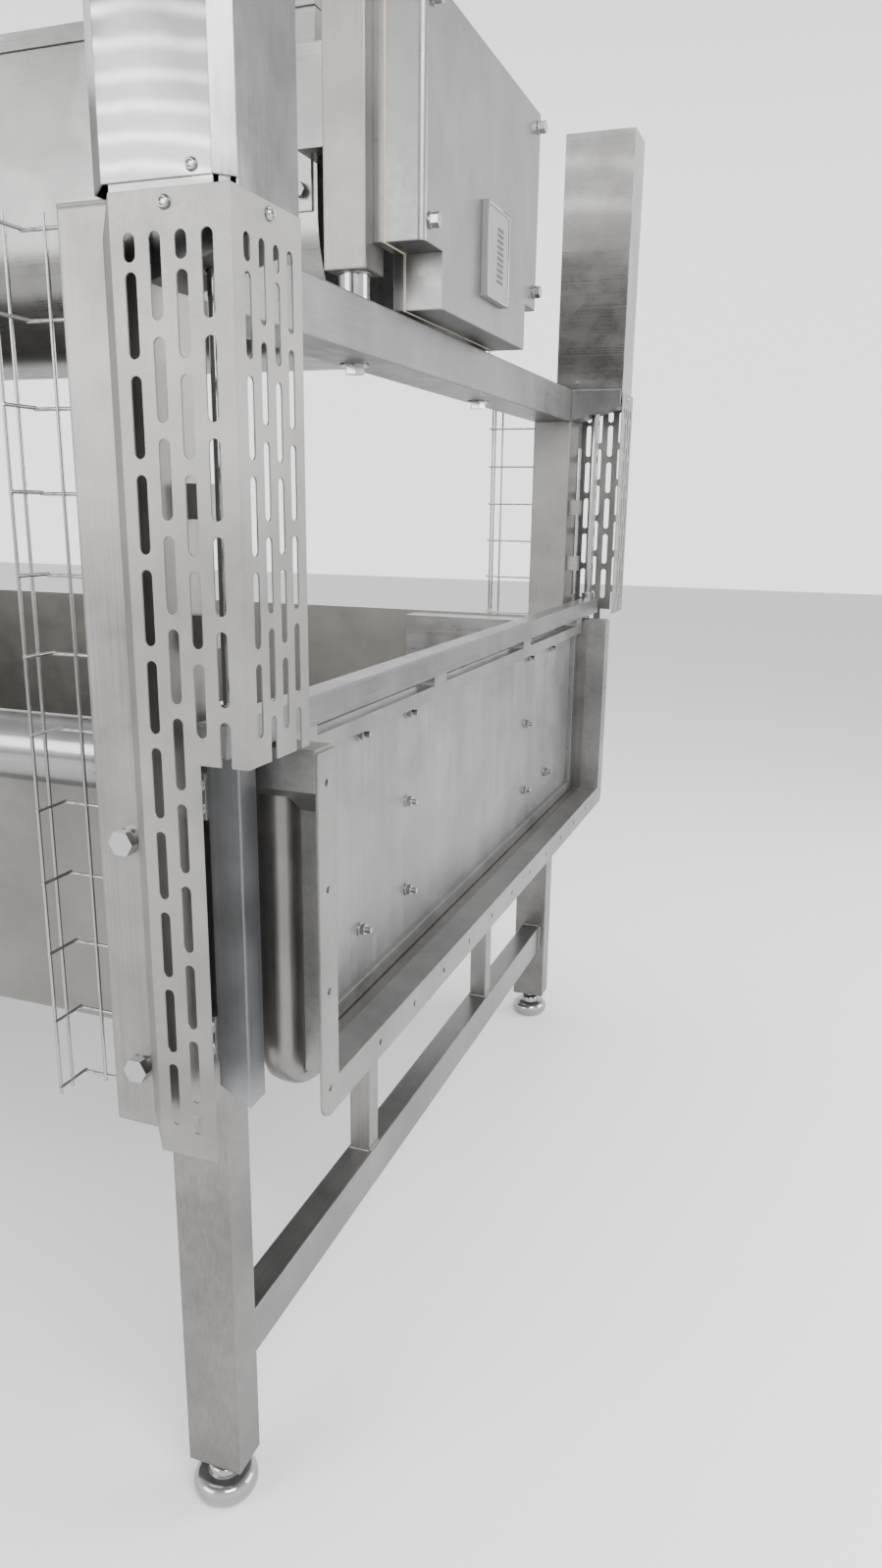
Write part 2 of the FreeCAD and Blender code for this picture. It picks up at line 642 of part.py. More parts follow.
def repeat_down(owner, feature, sketch, count):
    """Repeat a feature downwards at the slots' pitch."""
    pattern = owner.newObject("PartDesign::LinearPattern", "pattern")
    pattern.Originals = [feature]
    pattern.Direction = (sketch, ["V_Axis"])
    pattern.Reversed = True
    pattern.Occurrences = count
    bind(pattern, Length=f"slot_pitch_up * {count - 1}")
    owner.Tip = pattern
    doc.recompute()


def punch_slots(owner, role, columns, bottoms):
    """Columns of slots in turn: a short slot above the full ones, or below them where there is room."""
    first_top = f"({GUARD_TOP} - slot_margin)"
    for number, (across, bottom) in enumerate(zip(columns, bottoms)):
        starts_short = number % 2 == 0
        top = f"({first_top} - slot_short - slot_web)" if starts_short else first_top
        room = value(f"{top} - {bottom} - slot_length")
        count = 1 + int(room / value("slot_pitch_up"))
        if starts_short:
            punch_slot(owner, role, across, first_top, "slot_short")
        elif bottom == SLOT_FLOOR:
            punch_slot(owner, role, across, f"({top} - {count} * slot_pitch_up)", "slot_short")
        pocket, sketch = punch_slot(owner, role, across, top, "slot_length")
        repeat_down(owner, pocket, sketch, count)


def make_guard_fronts():
    """Slotted front sheets with a folded corner against the column, narrower at the bottom."""
    front = body("guard_front")
    fold = "guard_chamfer"
    thick = "guard_sheet"
    slant = "guard_sheet * 0.414"
    face = f"(0 - {GUARD_FACE})"
    rear = f"(0 - {SIDE} - guard_seat)"
    left = f"({LEG_OUT} - {fold})"
    plan = [(GUARD_OUT, face), (GUARD_OUT, f"({face} + {thick})"),
            (f"({LEG_OUT} + {slant})", f"({face} + {thick})"),
            (f"({left} + {thick})", f"({face} + {fold} + {slant})"), (f"({left} + {thick})", rear),
            (left, rear), (left, f"({face} + {fold})"), (LEG_OUT, face)]
    pad(front, outline(front, "XY_Plane", plan), GUARD_TOP)
    far = f"({LEG_OUT} - 2 * column_side)"
    beyond = f"({GUARD_OUT} + 1)"
    step = f"({LEG_OUT} + guard_step_reach)"
    removed = outline(front, "XZ_Plane", [
        (far, "(0 - 1)"), (beyond, "(0 - 1)"), (beyond, "guard_step"), (step, "guard_step"),
        (step, "guard_bottom"), (LEG_OUT, "guard_bottom"), (far, "(guard_bottom + 2 * column_side)")])
    draw_loop(removed, [(f"({LEG_OUT} + 1)", f"({GUARD_TOP} + 1)"), (far, f"({GUARD_TOP} + 1)"),
                        (far, f"({GUARD_TOP} - 2 * column_side)")])
    cut_through(front, removed)
    columns = [f"({GUARD_OUT} - slot_edge - {step} * slot_pitch_across)" for step in (3, 2, 1, 0)]
    punch_slots(front, "XZ_Plane", columns, [SLOT_FLOOR, SLOT_FLOOR, STEP_FLOOR, STEP_FLOOR])
    keep_pair(front, "guard_front")


def make_guard_sides():
    """Slotted outboard sheets of the guards."""
    side = body("guard_side")
    plan = [(f"(0 - {GUARD_FACE} + guard_sheet)", "guard_step"), (f"(0 - {COLUMN_FACE})", "guard_step"),
            (f"(0 - {COLUMN_FACE})", GUARD_TOP), (f"(0 - {GUARD_FACE} + guard_sheet)", GUARD_TOP)]
    pad(side, outline(side, "YZ_Plane", plan), "guard_sheet")
    columns = [f"(0 - {GUARD_FACE} + slot_edge + {step} * slot_pitch_across)" for step in (0, 1, 2, 3)]
    punch_slots(side, "YZ_Plane", columns, [STEP_FLOOR] * 4)
    move(side, x=f"{GUARD_OUT} - guard_sheet")
    keep_pair(side, "guard_side")


def cover_plan(inset):
    """The cover's outline, folded at both outer corners, drawn in by an inset."""
    slant = f"{inset} * 0.414"
    left = f"({LEG_OUT} - cover_overlap)"
    right = f"({GUARD_OUT} - cover_lip)"
    face = f"(0 - {GUARD_FACE})"
    back = f"(0 - {COLUMN_FACE})"
    fold = "guard_chamfer"
    small = "cover_chamfer"
    return [(f"({left} + {inset})", f"({back} - {inset})"),
            (f"({left} + {inset})", f"({face} + {fold} + {slant})"),
            (f"({left} + {fold} + {slant})", f"({face} + {inset})"),
            (f"({right} - {small} - {slant})", f"({face} + {inset})"),
            (f"({right} - {inset})", f"({face} + {small} + {slant})"),
            (f"({right} - {inset})", f"({back} - {inset})")]


def make_covers():
    """Tall folded covers over the lift cylinders, open underneath, with tabs behind the guards."""
    outer = body("cover_outside")
    pad(outer, outline(outer, "XY_Plane", cover_plan("0")), "cover_height")
    move(outer, z=BEAM_TOP)
    inner = body("cover_inside")
    pad(inner, outline(inner, "XY_Plane", cover_plan("guard_sheet")), "cover_height")
    move(inner, z=f"{BEAM_TOP} - guard_sheet")
    z = (f"({GUARD_TOP} - cover_skirt)", f"({BEAM_TOP} + skirt_lap)")
    right = f"({GUARD_OUT} - cover_lip)"
    face = f"({GUARD_FACE} - guard_sheet)"
    front = block((LEG_OUT, f"({right} - cover_chamfer)"), (f"-{face}", f"(guard_sheet - {face})"), z)
    side = block((f"({right} - guard_sheet)", right), (f"(cover_chamfer - {GUARD_FACE})", f"-{COLUMN_FACE}"), z)
    ends, thickness = ("tab_setback", "(cover_chamfer - tab_setback)"), ("0.35 * guard_sheet", "1.05 * guard_sheet")
    plan = [(f"({right} - cover_chamfer + {along} - {inward})", f"({along} + {inward} - {GUARD_FACE})")
            for along, inward in ((ends[0], thickness[0]), (ends[1], thickness[0]),
                                  (ends[1], thickness[1]), (ends[0], thickness[1]))]
    corner = body("cover_corner")
    pad(corner, outline(corner, "XY_Plane", plan), f"({BEAM_TOP} + skirt_lap - {GUARD_TOP} + cover_skirt)")
    move(corner, z=f"{GUARD_TOP} - cover_skirt")
    keep_pair(fuse(cut(outer, inner), front, corner, side), "cylinder_cover")


def make_cylinders():
    """Lift cylinders: a barrel with a gland at the bottom, standing on the bracket."""
    length = "(cylinder_stroke + cylinder_spare)"
    barrel = rod("cylinder_radius", length, ROD_X, f"-{ROD_Y}", BEAM_TOP)
    bore = rod("cylinder_radius - cylinder_wall", f"{length} - 2 * gland_height", ROD_X, f"-{ROD_Y}",
               f"{BEAM_TOP} + gland_height")
    gland = rod("rod_radius + rod_clearance", "3 * gland_height", ROD_X, f"-{ROD_Y}",
                f"{BEAM_TOP} - gland_height")
    keep_pair(cut(barrel, bore, gland), "lift_cylinder")


def make_piston_rods():
    """Piston rods: a boss on the lift bar, the rod, and the piston in the barrel."""
    boss = rod("rod_boss_radius", "rod_boss_height", ROD_X, f"-{ROD_Y}", BAR_TOP)
    seat = f"({BEAM_TOP} + gland_height + piston_gap)"
    shaft = rod("rod_radius", f"({seat} + piston_height / 2 - {BAR_TOP})", ROD_X, f"-{ROD_Y}", BAR_TOP)
    piston = rod("cylinder_radius - cylinder_wall - rod_clearance", "piston_height", ROD_X, f"-{ROD_Y}", seat)
    keep_pair(fuse(boss, shaft, piston), "piston_rod")


def make_guide_channels():
    """Closed channels beside the gate housing, with a sloped foot."""
    channel = body("guide_channel")
    right = f"({CHANNEL_IN} + channel_width)"
    top = "(lift_bar_bottom - lift_bar_gap)"
    profile = [(CHANNEL_IN, "(channel_bottom + channel_slope)"), (right, "channel_bottom"), (right, top),
               (CHANNEL_IN, top)]
    pad(channel, outline(channel, "XZ_Plane", profile), "channel_depth")
    move(channel, y=f"-{COLUMN_FACE}")
    keep(group(*both_sides(channel)), "guide_channels")


def make_corner_clamps():
    """Blocks on the columns: two carry the channel, two carry the guide rod."""
    pieces = []
    inner = f"({COLUMN_FACE} + clamp_inset)"
    for step in (0, 1):
        low = f"(clamp_bottom + {step} * clamp_pitch)"
        pieces += both_sides(block((COLUMN_OUT, CHANNEL_IN), (f"-({inner} + clamp_depth)", f"-{inner}"),
                                   (low, f"({low} + clamp_height)")))
    for step in (0, 1):
        low = f"(carrier_bottom + {step} * carrier_pitch)"
        half = "carrier_depth / 2"
        carrier = block((COLUMN_OUT, f"({COLUMN_OUT} + carrier_width)"),
                        (f"(0 - {GUIDE_ROD_Y} - {half})", f"(0 - {GUIDE_ROD_Y} + {half})"),
                        (low, f"({low} + carrier_height)"))
        hole = rod("guide_rod_radius", "2 * carrier_height", GUIDE_ROD_X, f"-{GUIDE_ROD_Y}",
                   f"({low} - carrier_height / 2)")
        pieces += both_sides(cut(carrier, hole))
    keep(group(*pieces), "corner_clamps")


def make_guide_rods():
    """Upright rods beside the piston rods, held in the clamps."""
    upright = rod("guide_rod_radius", "guide_rod_length", GUIDE_ROD_X, f"-{GUIDE_ROD_Y}", "guide_rod_bottom")
    keep(group(*both_sides(upright)), "guide_rods")


def make_cable_trays():
    """Welded wire trays up the inboard side of the columns."""
    back = f"(0 - {COLUMN_FACE} - 2 * wire_radius)"
    front = f"({back} - tray_flange)"
    inner = f"({COLUMN_IN} - tray_width)"
    low = "(column_bottom - wire_lead)"
    count = int(value("tray_wires"))
    wires = []
    for step in range(count):
        height = f"({low} + {step} * tray_pitch)"
        wires.append(rod("wire_radius", f"({COLUMN_IN} - {inner} + wire_radius / 2)",
                         f"({inner} - wire_radius / 2)", back, height, X_AXIS))
        wires.append(rod("wire_radius", f"({back} - {front} + wire_radius / 2)", inner, front,
                         f"({height} + wire_offset)", Y_AXIS))
    length = f"({count - 1} * tray_pitch + 3 * wire_lead)"
    for x, y in ((f"({inner} - wire_offset)", f"({front} + wire_lead / 2)"),
                 (f"({inner} - wire_offset)", f"({back} - tray_flange / 2)"),
                 (f"({inner} + tray_upright_gap)", f"({back} - wire_offset)")):
        wires.append(rod("upright_radius", length, x, y, f"({low} - wire_lead)"))
    keep_pair(fuse(*wires), "cable_tray")


def make_trough_sides():
    """Trough walls, rolled into the floor along their lower edge."""
    side = body("trough_side")
    lap = "(trough_corner + floor_lap)"
    profile = [(f"(0 - {WALL})", "trough_bottom"), (f"(0 - {WALL} + {lap})", "trough_bottom"),
               (f"(0 - {WALL} + {lap})", "(trough_bottom + sheet)"),
               (f"(0 - {WALL} + sheet)", "(trough_bottom + sheet)"), (f"(0 - {WALL} + sheet)", "rim_top"),
               (f"(0 - {WALL})", "rim_top")]
    pad(side, outline(side, "YZ_Plane", profile), f"{HOUSING_START} - {INFEED_OUT}")
    round_edges(side, "trough_corner", lambda middle, way: abs(way.x) > 1 and near(
        middle.y, f"0 - {WALL}") and near(middle.z, "trough_bottom"))
    round_edges(side, "trough_corner - sheet", lambda middle, way: abs(way.x) > 1 and near(
        middle.y, f"0 - {WALL} + sheet") and near(middle.z, "trough_bottom + sheet"))
    move(side, x=INFEED_OUT)
    keep_pair(side, "trough_side")


def make_trough_rims():
    """Half-round rolled rims along the outside of the walls."""
    halves = []
    for radius in ("rim_radius", "rim_radius - sheet"):
        half = rod(radius, f"{HOUSING_START} - {INFEED_OUT}", INFEED_OUT, f"-{WALL}",
                   "rim_top - rim_radius")
        half.Angle = 180
        half.Placement.Rotation = FreeCAD.Rotation(Z_AXIS, -Y_AXIS, X_AXIS, "ZXY")
        halves.append(half)
    keep_pair(cut(*halves), "trough_rim")


def make_trough_floor():
    floor_edge = f"({WALL} - trough_corner - floor_lap)"
    floor = block((INFEED_OUT, HOUSING_START), (f"-{floor_edge}", floor_edge),
                  ("trough_bottom", "(trough_bottom + sheet)"))
    keep(floor, "trough_floor")


def round_bottomed(name, reach, low, high, corner, length):
    """A plate across the trough with both lower corners rounded."""
    plate = body(name)
    section = [(f"(0 - {reach})", low), (reach, low), (reach, high), (f"(0 - {reach})", high)]
    pad(plate, outline(plate, "YZ_Plane", section), length)
    round_edges(plate, corner, lambda middle, way: abs(way.x) > 1 and near(middle.z, low))
    return plate


def make_trough_end():
    """Closed end wall at the infeed end, cut to the trough's section."""
    end = round_bottomed("trough_end", WALL, "trough_bottom", "rim_top", "trough_corner", "sheet")
    move(end, x=f"{INFEED_OUT} - sheet")
    keep(end, "trough_end")


def u_loop(reach, low, high, inner, floor):
    """A U-shaped outline in the YZ plane, open at the top."""
    return [(f"(0 - {reach})", low), (reach, low), (reach, high), (inner, high), (inner, floor),
            (f"(0 - {inner})", floor), (f"(0 - {inner})", high), (f"(0 - {reach})", high)]


def make_gate_housing():
    """The rounded housing round the discharge end, with the slot the gate runs in."""
    housing = body("housing_block")
    reach = f"({WALL} + housing_depth)"
    top = "(rim_top - housing_drop)"
    inner = f"({WALL} - housing_lip)"
    low = "(trough_bottom - housing_depth)"
    floor = "(trough_bottom + housing_floor)"
    pad(housing, outline(housing, "YZ_Plane", u_loop(reach, low, top, inner, floor)), "housing_length")
    round_edges(housing, "housing_corner", lambda middle, way: abs(way.x) > 1 and near(middle.z, low))
    round_edges(housing, "housing_depth - housing_drop", lambda middle, way: abs(way.x) < 1 and (
        near(abs(middle.y), reach) or near(middle.z, low)))
    move(housing, x=HOUSING_START)
    slot = round_bottomed("gate_slot", SLOT_REACH, SLOT_BOTTOM, "rim_top", "slot_corner",
                          "gate_sheet + 2 * slot_play")
    move(slot, x=f"{PANEL_BACK} - slot_play")
    keep(cut(housing, slot), "gate_housing")


def make_collar():
    """The discharge collar: a U of sheet with a drilled bolting flange at its end."""
    walls = body("collar_walls")
    inner = f"({WALL} - housing_lip)"
    floor = "(trough_bottom + collar_floor)"
    top = "(rim_top - collar_drop)"
    section = u_loop(f"({inner} + sheet)", f"({floor} - sheet)", top, inner, floor)
    pad(walls, outline(walls, "YZ_Plane", section), "collar_length")
    move(walls, x=HOUSING_END)
    flange = body("collar_flange")
    low = f"({floor} - flange_width)"
    pad(flange, outline(flange, "YZ_Plane", u_loop(FLANGE_EDGE, low, top, inner, floor)), "flange_sheet")
    round_edges(flange, "flange_corner", lambda middle, way: abs(way.x) > 1 and near(middle.z, low))
    move(flange, x=f"{COLLAR_END} - flange_sheet")
    holes = [rod("flange_hole_radius", "4 * flange_sheet", f"({COLLAR_END} - 3 * flange_sheet)", y, z, X_AXIS)
             for y, z in flange_hole_places()]
    keep(cut(fuse(walls, flange), *holes), "discharge_collar")


def flange_hole_places():
    """Bottom holes in one row, side holes in two columns, all on the flange's middle line."""
    line = f"({WALL} + flange_width / 2)"
    bottom = "(trough_bottom + collar_floor - flange_width / 2)"
    places = [(f"({step} * bottom_hole_pitch)", bottom) for step in range(-5, 6)]
    for step in range(4):
        height = f"({bottom} + side_hole_start + {step} * side_hole_pitch)"
        places += [(f"-{line}", height), (line, height)]
    return places


def make_rim_boxes():
    """Folded boxes that end the rolled rims beside the gate housing."""
    box = body("rim_box")
    top = "(rim_top - housing_drop)"
    root = f"(0 - {WALL} - 1)"
    edge = f"(0 - {FLANGE_EDGE})"
    profile = [(edge, f"({top} - rim_box_side)"), (root, f"({top} - rim_box_root)"), (root, top), (edge, top)]
    pad(box, outline(box, "YZ_Plane", profile), f"{COLLAR_END} - flange_sheet - {HOUSING_START}")
    move(box, x=HOUSING_START)
    room = block((f"({HOUSING_START} - 1)", HOUSING_END), (f"-({WALL} + housing_depth)", "0"), ("0", "rim_top"))
    keep(group(*both_sides(cut(box, room))), "rim_boxes")


def make_overflow_box():
    """A closed box inside the left wall, just before the gate."""
    end = f"({HOUSING_START} - overflow_gap)"
    side = f"({WALL} - sheet)"
    top = "(rim_top - housing_drop)"
    keep(hollow((f"({end} - overflow_length)", end), (f"({side} - overflow_width)", side),
                (f"({top} - overflow_height)", top), "sheet"), "overflow_box")


def make_gate():
    """The lifting gate: panel, edge frame, top rail, spacers and studs."""
    panel_reach = f"({SLOT_REACH} - gate_play)"
    panel = round_bottomed("gate_sheet_body", panel_reach, f"({SLOT_BOTTOM} + gate_play)", "gate_top",
                           "slot_corner", "gate_sheet")
    move(panel, x=PANEL_BACK)
    keep(panel, "gate_panel")
    frame = body("gate_edge_frame")
    reach = f"({WALL} - housing_lip - gate_play)"
    rail_bottom = "(gate_top - rail_height)"
    floor = "(trough_bottom + housing_floor + gate_play)"
    section = u_loop(reach, floor, rail_bottom, f"({reach} - edge_frame_width)",
                     f"({floor} + edge_frame_width)")
    pad(frame, outline(frame, "YZ_Plane", section), "edge_frame_depth")
    move(frame, x=PANEL_FACE)
    keep(frame, "gate_edge_frame")
    keep(hollow((PANEL_FACE, f"({PANEL_FACE} + rail_depth)"), (f"-{reach}", reach), (rail_bottom, "gate_top"),
                "sheet"), "gate_top_rail")
    half = "gate_spacer_width / 2"
    spacers = []
    for offset in ("gate_spacer_inner", "gate_spacer_outer"):
        spacers += both_sides(block((BAR_IN, f"({BAR_OUT} - gate_spacer_setback)"),
                                    (f"(0 - {offset} - {half})", f"(0 - {offset} + {half})"),
                                    ("gate_top", "lift_bar_bottom")))
    keep(group(*spacers), "gate_spacers")
    bar_reach = f"({SIDE} - lift_bar_margin)"
    bar = hollow((BAR_IN, BAR_OUT), (f"-{bar_reach}", bar_reach), ("lift_bar_bottom", BAR_TOP), "sheet")
    keep(bar, "lift_bar")


def gate_stud_places():
    top = "(gate_top - rail_height - stud_drop)"
    middle = "(trough_bottom + stud_middle)"
    bottom = "(trough_bottom + stud_low)"
    return [("stud_outer", top), ("stud_inner", top), ("stud_inner", middle), ("stud_outer", bottom),
            ("stud_inner", bottom)]


def make_gate_studs():
    """Studs with washers and nuts on the outer face of the gate panel."""
    pieces = []
    for offset, height in gate_stud_places():
        y = f"(0 - {offset})"
        washer = rod("stud_washer_radius", "stud_washer_sheet", PANEL_FACE, y, height, X_AXIS)
        nut = hexagon("stud_nut_corner", "stud_nut_height", f"({PANEL_FACE} + stud_washer_sheet)", y, height,
                      X_AXIS)
        stud = rod("stud_radius", "stud_length", PANEL_FACE, y, height, X_AXIS)
        pieces += both_sides(fuse(washer, nut, stud))
    keep(group(*pieces), "gate_studs")


def vessel_block(inset, name):
    """The vessel's section with rounded lower edges, drawn in by an inset."""
    piece = body(name)
    half = f"(vessel_width / 2 - {inset})"
    low = f"(vessel_bottom + {inset})"
    high = f"(vessel_top - lid_height - {inset})"
    section = [(f"(0 - {half})", low), (half, low), (half, high), (f"(0 - {half})", high)]
    pad(piece, outline(piece, "YZ_Plane", section), f"2 * ({VESSEL_END} - {MIDDLE} - {inset})")
    round_edges(piece, f"vessel_corner - {inset}", lambda middle, way: abs(way.x) > 1 and near(middle.z, low))
    return move(piece, x=f"{opposite(VESSEL_END)} + {inset}")


def make_vessel():
    """The closed vessel and its lid."""
    keep(cut(vessel_block("0", "vessel_outside"), vessel_block("sheet", "vessel_inside")), "vessel_shell")
    reach = "(vessel_width / 2 + lid_lap)"
    keep(hollow((f"({opposite(VESSEL_END)} - 1)", f"({VESSEL_END} + 1)"), (f"-{reach}", reach),
                ("(vessel_top - lid_height)", "vessel_top"), "sheet"), "vessel_lid")


def make_posts():
    """Posts on round spacers, and the plates that hold the vessel between them."""
    x = (f"({POST_X} - post_side / 2)", f"({POST_X} + post_side / 2)")
    y = ("(0 - post_offset - post_side / 2)", "(0 - post_offset + post_side / 2)")
    post = hollow(x, y, (POST_BOTTOM, "(vessel_top - post_drop)"))
    keep(group(*all_corners(post)), "vessel_posts")
    spacer = rod("spacer_radius", "spacer_height", POST_X, "-post_offset", BEAM_TOP)
    keep(group(*all_corners(spacer)), "post_spacers")
    side = "(0 - vessel_width / 2)"
    plate = block((VESSEL_END, x[0]), (y[0], f"({side} + plate_lap)"),
                  ("plate_bottom", "(plate_bottom + plate_height)"))
    middle = f"({VESSEL_END} - strap_inset)"
    strap_top = "(strap_bottom + plate_height)"
    strap = block((f"({middle} - strap_width / 2)", f"({middle} + strap_width / 2)"),
                  (f"({side} - strap_sheet)", side), ("strap_bottom", strap_top))
    head_y = f"({side} - strap_sheet - head_height)"
    heights = ("(strap_bottom + strap_bolt_inset)", f"({strap_top} - strap_bolt_inset)")
    heads = [hexagon("case_head_corner", "head_height", middle, head_y, height, Y_AXIS) for height in heights]
    keep(group(*all_corners(plate), *all_corners(fuse(strap, *heads))), "vessel_plates")


def case_section(owner, inset):
    """The drive case's outline, notched at both lower corners."""
    half = f"(case_width / 2 - {inset})"
    waist = f"(case_width / 2 - case_notch_width - {inset})"
    low = f"(case_bottom + {inset})"
    shoulder = f"(case_bottom + case_notch_height + {inset})"
    high = f"(case_top - {inset})"
    return outline(owner, "YZ_Plane", [
        (f"(0 - {waist})", low), (waist, low), (waist, shoulder), (half, shoulder), (half, high),
        (f"(0 - {half})", high), (f"(0 - {half})", shoulder), (f"(0 - {waist})", shoulder)])


def case_block(name, inset):
    """The cover's volume with its upright front edges rounded, drawn in by an inset."""
    block_body = body(name)
    pad(block_body, case_section(block_body, inset), f"case_depth - {inset}")
    round_edges(block_body, f"case_fold - {inset}", lambda middle, way: abs(way.z) > value("case_notch_height")
                and near(abs(middle.y), f"case_width / 2 - {inset}") and near(middle.x, f"case_depth - {inset}"))
    return move(block_body, x=f"{CASE_BACK} + case_back")


def make_drive_case():
    """The drive case on the discharge posts: a back tray and a deep rounded cover."""
    tray = body("case_tray_block")
    pad(tray, case_section(tray, "0"), "case_back")
    move(tray, x=CASE_BACK)
    room = body("case_tray_room")
    pad(room, case_section(room, "sheet"), "case_back")
    move(room, x=f"{CASE_BACK} + sheet")
    keep(cut(tray, room), "case_tray")
    outer = case_block("case_outside", "0")
    inner = case_block("case_inside", "sheet")
    start = f"({CASE_FRONT} - case_back)"
    holes = [rod("bolt_hole_radius", "2 * case_back", start, f"{way}{CASE_BOLT_Y}", height, X_AXIS)
             for way in ("", "-") for height in CASE_BOLTS_Z]
    keep(cut(outer, inner, *holes), "case_cover")


def make_nameplate():
    """A plain raised plate on the drive case."""
    keep(block((CASE_FRONT, f"({CASE_FRONT} + nameplate_sheet)"), ("-nameplate_right", "nameplate_left"),
               ("nameplate_bottom", "(nameplate_bottom + nameplate_height)")), "nameplate")


def write_nodes():
    """Check every object, then write one STEP file per node."""
    doc.recompute()
    for piece in doc.Objects:
        assert not {"Invalid", "Error"} & set(piece.State), f"{piece.Name} {piece.Label}: {piece.State}"
    os.makedirs("parts", exist_ok=True)
    for piece in nodes:
        shape = piece.Shape
        assert not shape.isNull() and shape.isValid() and shape.Solids, piece.Label
    for piece in nodes:
        piece.Shape.exportStep(f"parts/{piece.Label}.step")
        print(piece.Label, len(piece.Shape.Solids), round(piece.Shape.Volume / 1000), "cm3")
    print(len(nodes), "nodes")


make_legs()
make_feet()
make_columns()
make_column_caps()
make_beams()
make_frame_bolts()
make_stretchers()
make_struts()
make_pads()
make_brackets()
make_guard_fronts()
make_guard_sides()
make_covers()
make_cylinders()
make_piston_rods()
make_guide_channels()
make_corner_clamps()
make_guide_rods()
make_cable_trays()
make_trough_sides()
make_trough_rims()
make_trough_floor()
make_trough_end()
make_gate_housing()
make_collar()
make_rim_boxes()
make_overflow_box()
make_gate()
make_gate_studs()
make_vessel()
make_posts()
make_drive_case()
make_nameplate()
write_nodes()
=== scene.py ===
# %% [markdown]
# # Trough station with a lifting end gate
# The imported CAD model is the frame. This file adds the camera, the studio, the steel's finishes and
# the small pieces that CAD leaves out: button screws, clamp bolts, weld beads, the case's seal, the
# blank plate's border and bars, and the turned shape of the feet.

# %% Load the frame
import math

import bpy
from mathutils import Matrix, Vector


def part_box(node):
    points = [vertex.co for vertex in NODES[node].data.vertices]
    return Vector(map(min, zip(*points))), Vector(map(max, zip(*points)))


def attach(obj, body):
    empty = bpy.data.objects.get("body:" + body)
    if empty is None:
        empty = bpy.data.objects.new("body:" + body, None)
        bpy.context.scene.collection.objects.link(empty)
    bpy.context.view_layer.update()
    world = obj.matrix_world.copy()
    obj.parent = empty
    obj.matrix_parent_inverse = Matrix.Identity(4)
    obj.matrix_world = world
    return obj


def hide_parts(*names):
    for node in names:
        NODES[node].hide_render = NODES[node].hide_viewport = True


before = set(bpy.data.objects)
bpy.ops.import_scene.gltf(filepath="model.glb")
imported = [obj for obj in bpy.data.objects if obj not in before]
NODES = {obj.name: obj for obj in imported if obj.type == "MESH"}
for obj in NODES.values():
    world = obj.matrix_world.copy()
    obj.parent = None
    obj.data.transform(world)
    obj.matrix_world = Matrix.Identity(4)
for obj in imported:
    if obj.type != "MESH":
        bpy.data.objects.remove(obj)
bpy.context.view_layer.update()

# %% [markdown]
# The camera stands at the discharge end, on the right, a little above the gate bar, and looks
# slightly down along the trough.

# %% Camera
EYE = Vector((1.8540, -2.0545, 1.4982))
YAW = math.radians(19.905)
PITCH = math.radians(14.494)
ROLL = math.radians(0.793)
LENS_MM, SENSOR_MM = 24.64, 36


def place_camera():
    forward = Vector((-math.sin(YAW) * math.cos(PITCH), math.cos(YAW) * math.cos(PITCH),
                      -math.sin(PITCH)))
    right = Vector((math.cos(YAW), math.sin(YAW), 0))
    up = right.cross(forward)
    right, up = (right * math.cos(ROLL) + up * math.sin(ROLL),
                 up * math.cos(ROLL) - right * math.sin(ROLL))
    lens = bpy.data.cameras.new("camera")
    lens.lens = LENS_MM
    lens.sensor_width = SENSOR_MM
    lens.sensor_fit = "AUTO"
    lens.clip_start = 0.05
    lens.clip_end = 60
    camera = bpy.data.objects.new("camera", lens)
    bpy.context.scene.collection.objects.link(camera)
    turn = Matrix((right, up, -forward)).transposed().to_4x4()
    camera.matrix_world = Matrix.Translation(EYE) @ turn
    bpy.context.scene.camera = camera


place_camera()
print("camera at", tuple(EYE))

# %% [markdown]
# A pale floor and soft lights from large areas. The dome is light at the horizon and greyer overhead,
# so the steel has something to reflect.

# %% Studio
DOME_STRENGTH = 2.1
HORIZON, LOW_SKY, ZENITH = (1.0, 1.0, 1.0, 1), (0.98, 0.98, 0.99, 1), (0.20, 0.205, 0.215, 1)
FLOOR_SIZE, FLOOR_TONE = 40, (0.96, 0.96, 0.96, 1)
# name, place, what it points at, width and height, watts
LIGHTS = [("key", (3.6, -3.2, 3.6), (0.9, -0.4, 1.1), (2.4, 1.6), 210),
          ("fill", (-1.5, -4.6, 2.6), (0.2, -0.5, 1.0), (3.0, 2.0), 140),
          ("end_wash", (4.8, 1.6, 2.2), (1.2, 0.3, 1.1), (2.6, 2.0), 130),
          ("overhead", (0.3, 0.2, 5.2), (0.3, 0.2, 1.0), (3.5, 3.0), 190)]


def light_dome():
    world = bpy.data.worlds.new("dome")
    bpy.context.scene.world = world
    world.use_nodes = True
    nodes, links = world.node_tree.nodes, world.node_tree.links
    nodes.clear()
    coord = nodes.new("ShaderNodeTexCoord")
    split = nodes.new("ShaderNodeSeparateXYZ")
    ramp = nodes.new("ShaderNodeValToRGB")
    ramp.color_ramp.elements[0].position = 0.0
    ramp.color_ramp.elements[0].color = HORIZON
    ramp.color_ramp.elements[1].position = 0.9
    ramp.color_ramp.elements[1].color = ZENITH
    middle = ramp.color_ramp.elements.new(0.22)
    middle.color = LOW_SKY
    back = nodes.new("ShaderNodeBackground")
    back.inputs["Strength"].default_value = DOME_STRENGTH
    out = nodes.new("ShaderNodeOutputWorld")
    links.new(coord.outputs["Generated"], split.inputs["Vector"])
    links.new(split.outputs["Z"], ramp.inputs["Fac"])
    links.new(ramp.outputs["Color"], back.inputs["Color"])
    links.new(back.outputs["Background"], out.inputs["Surface"])


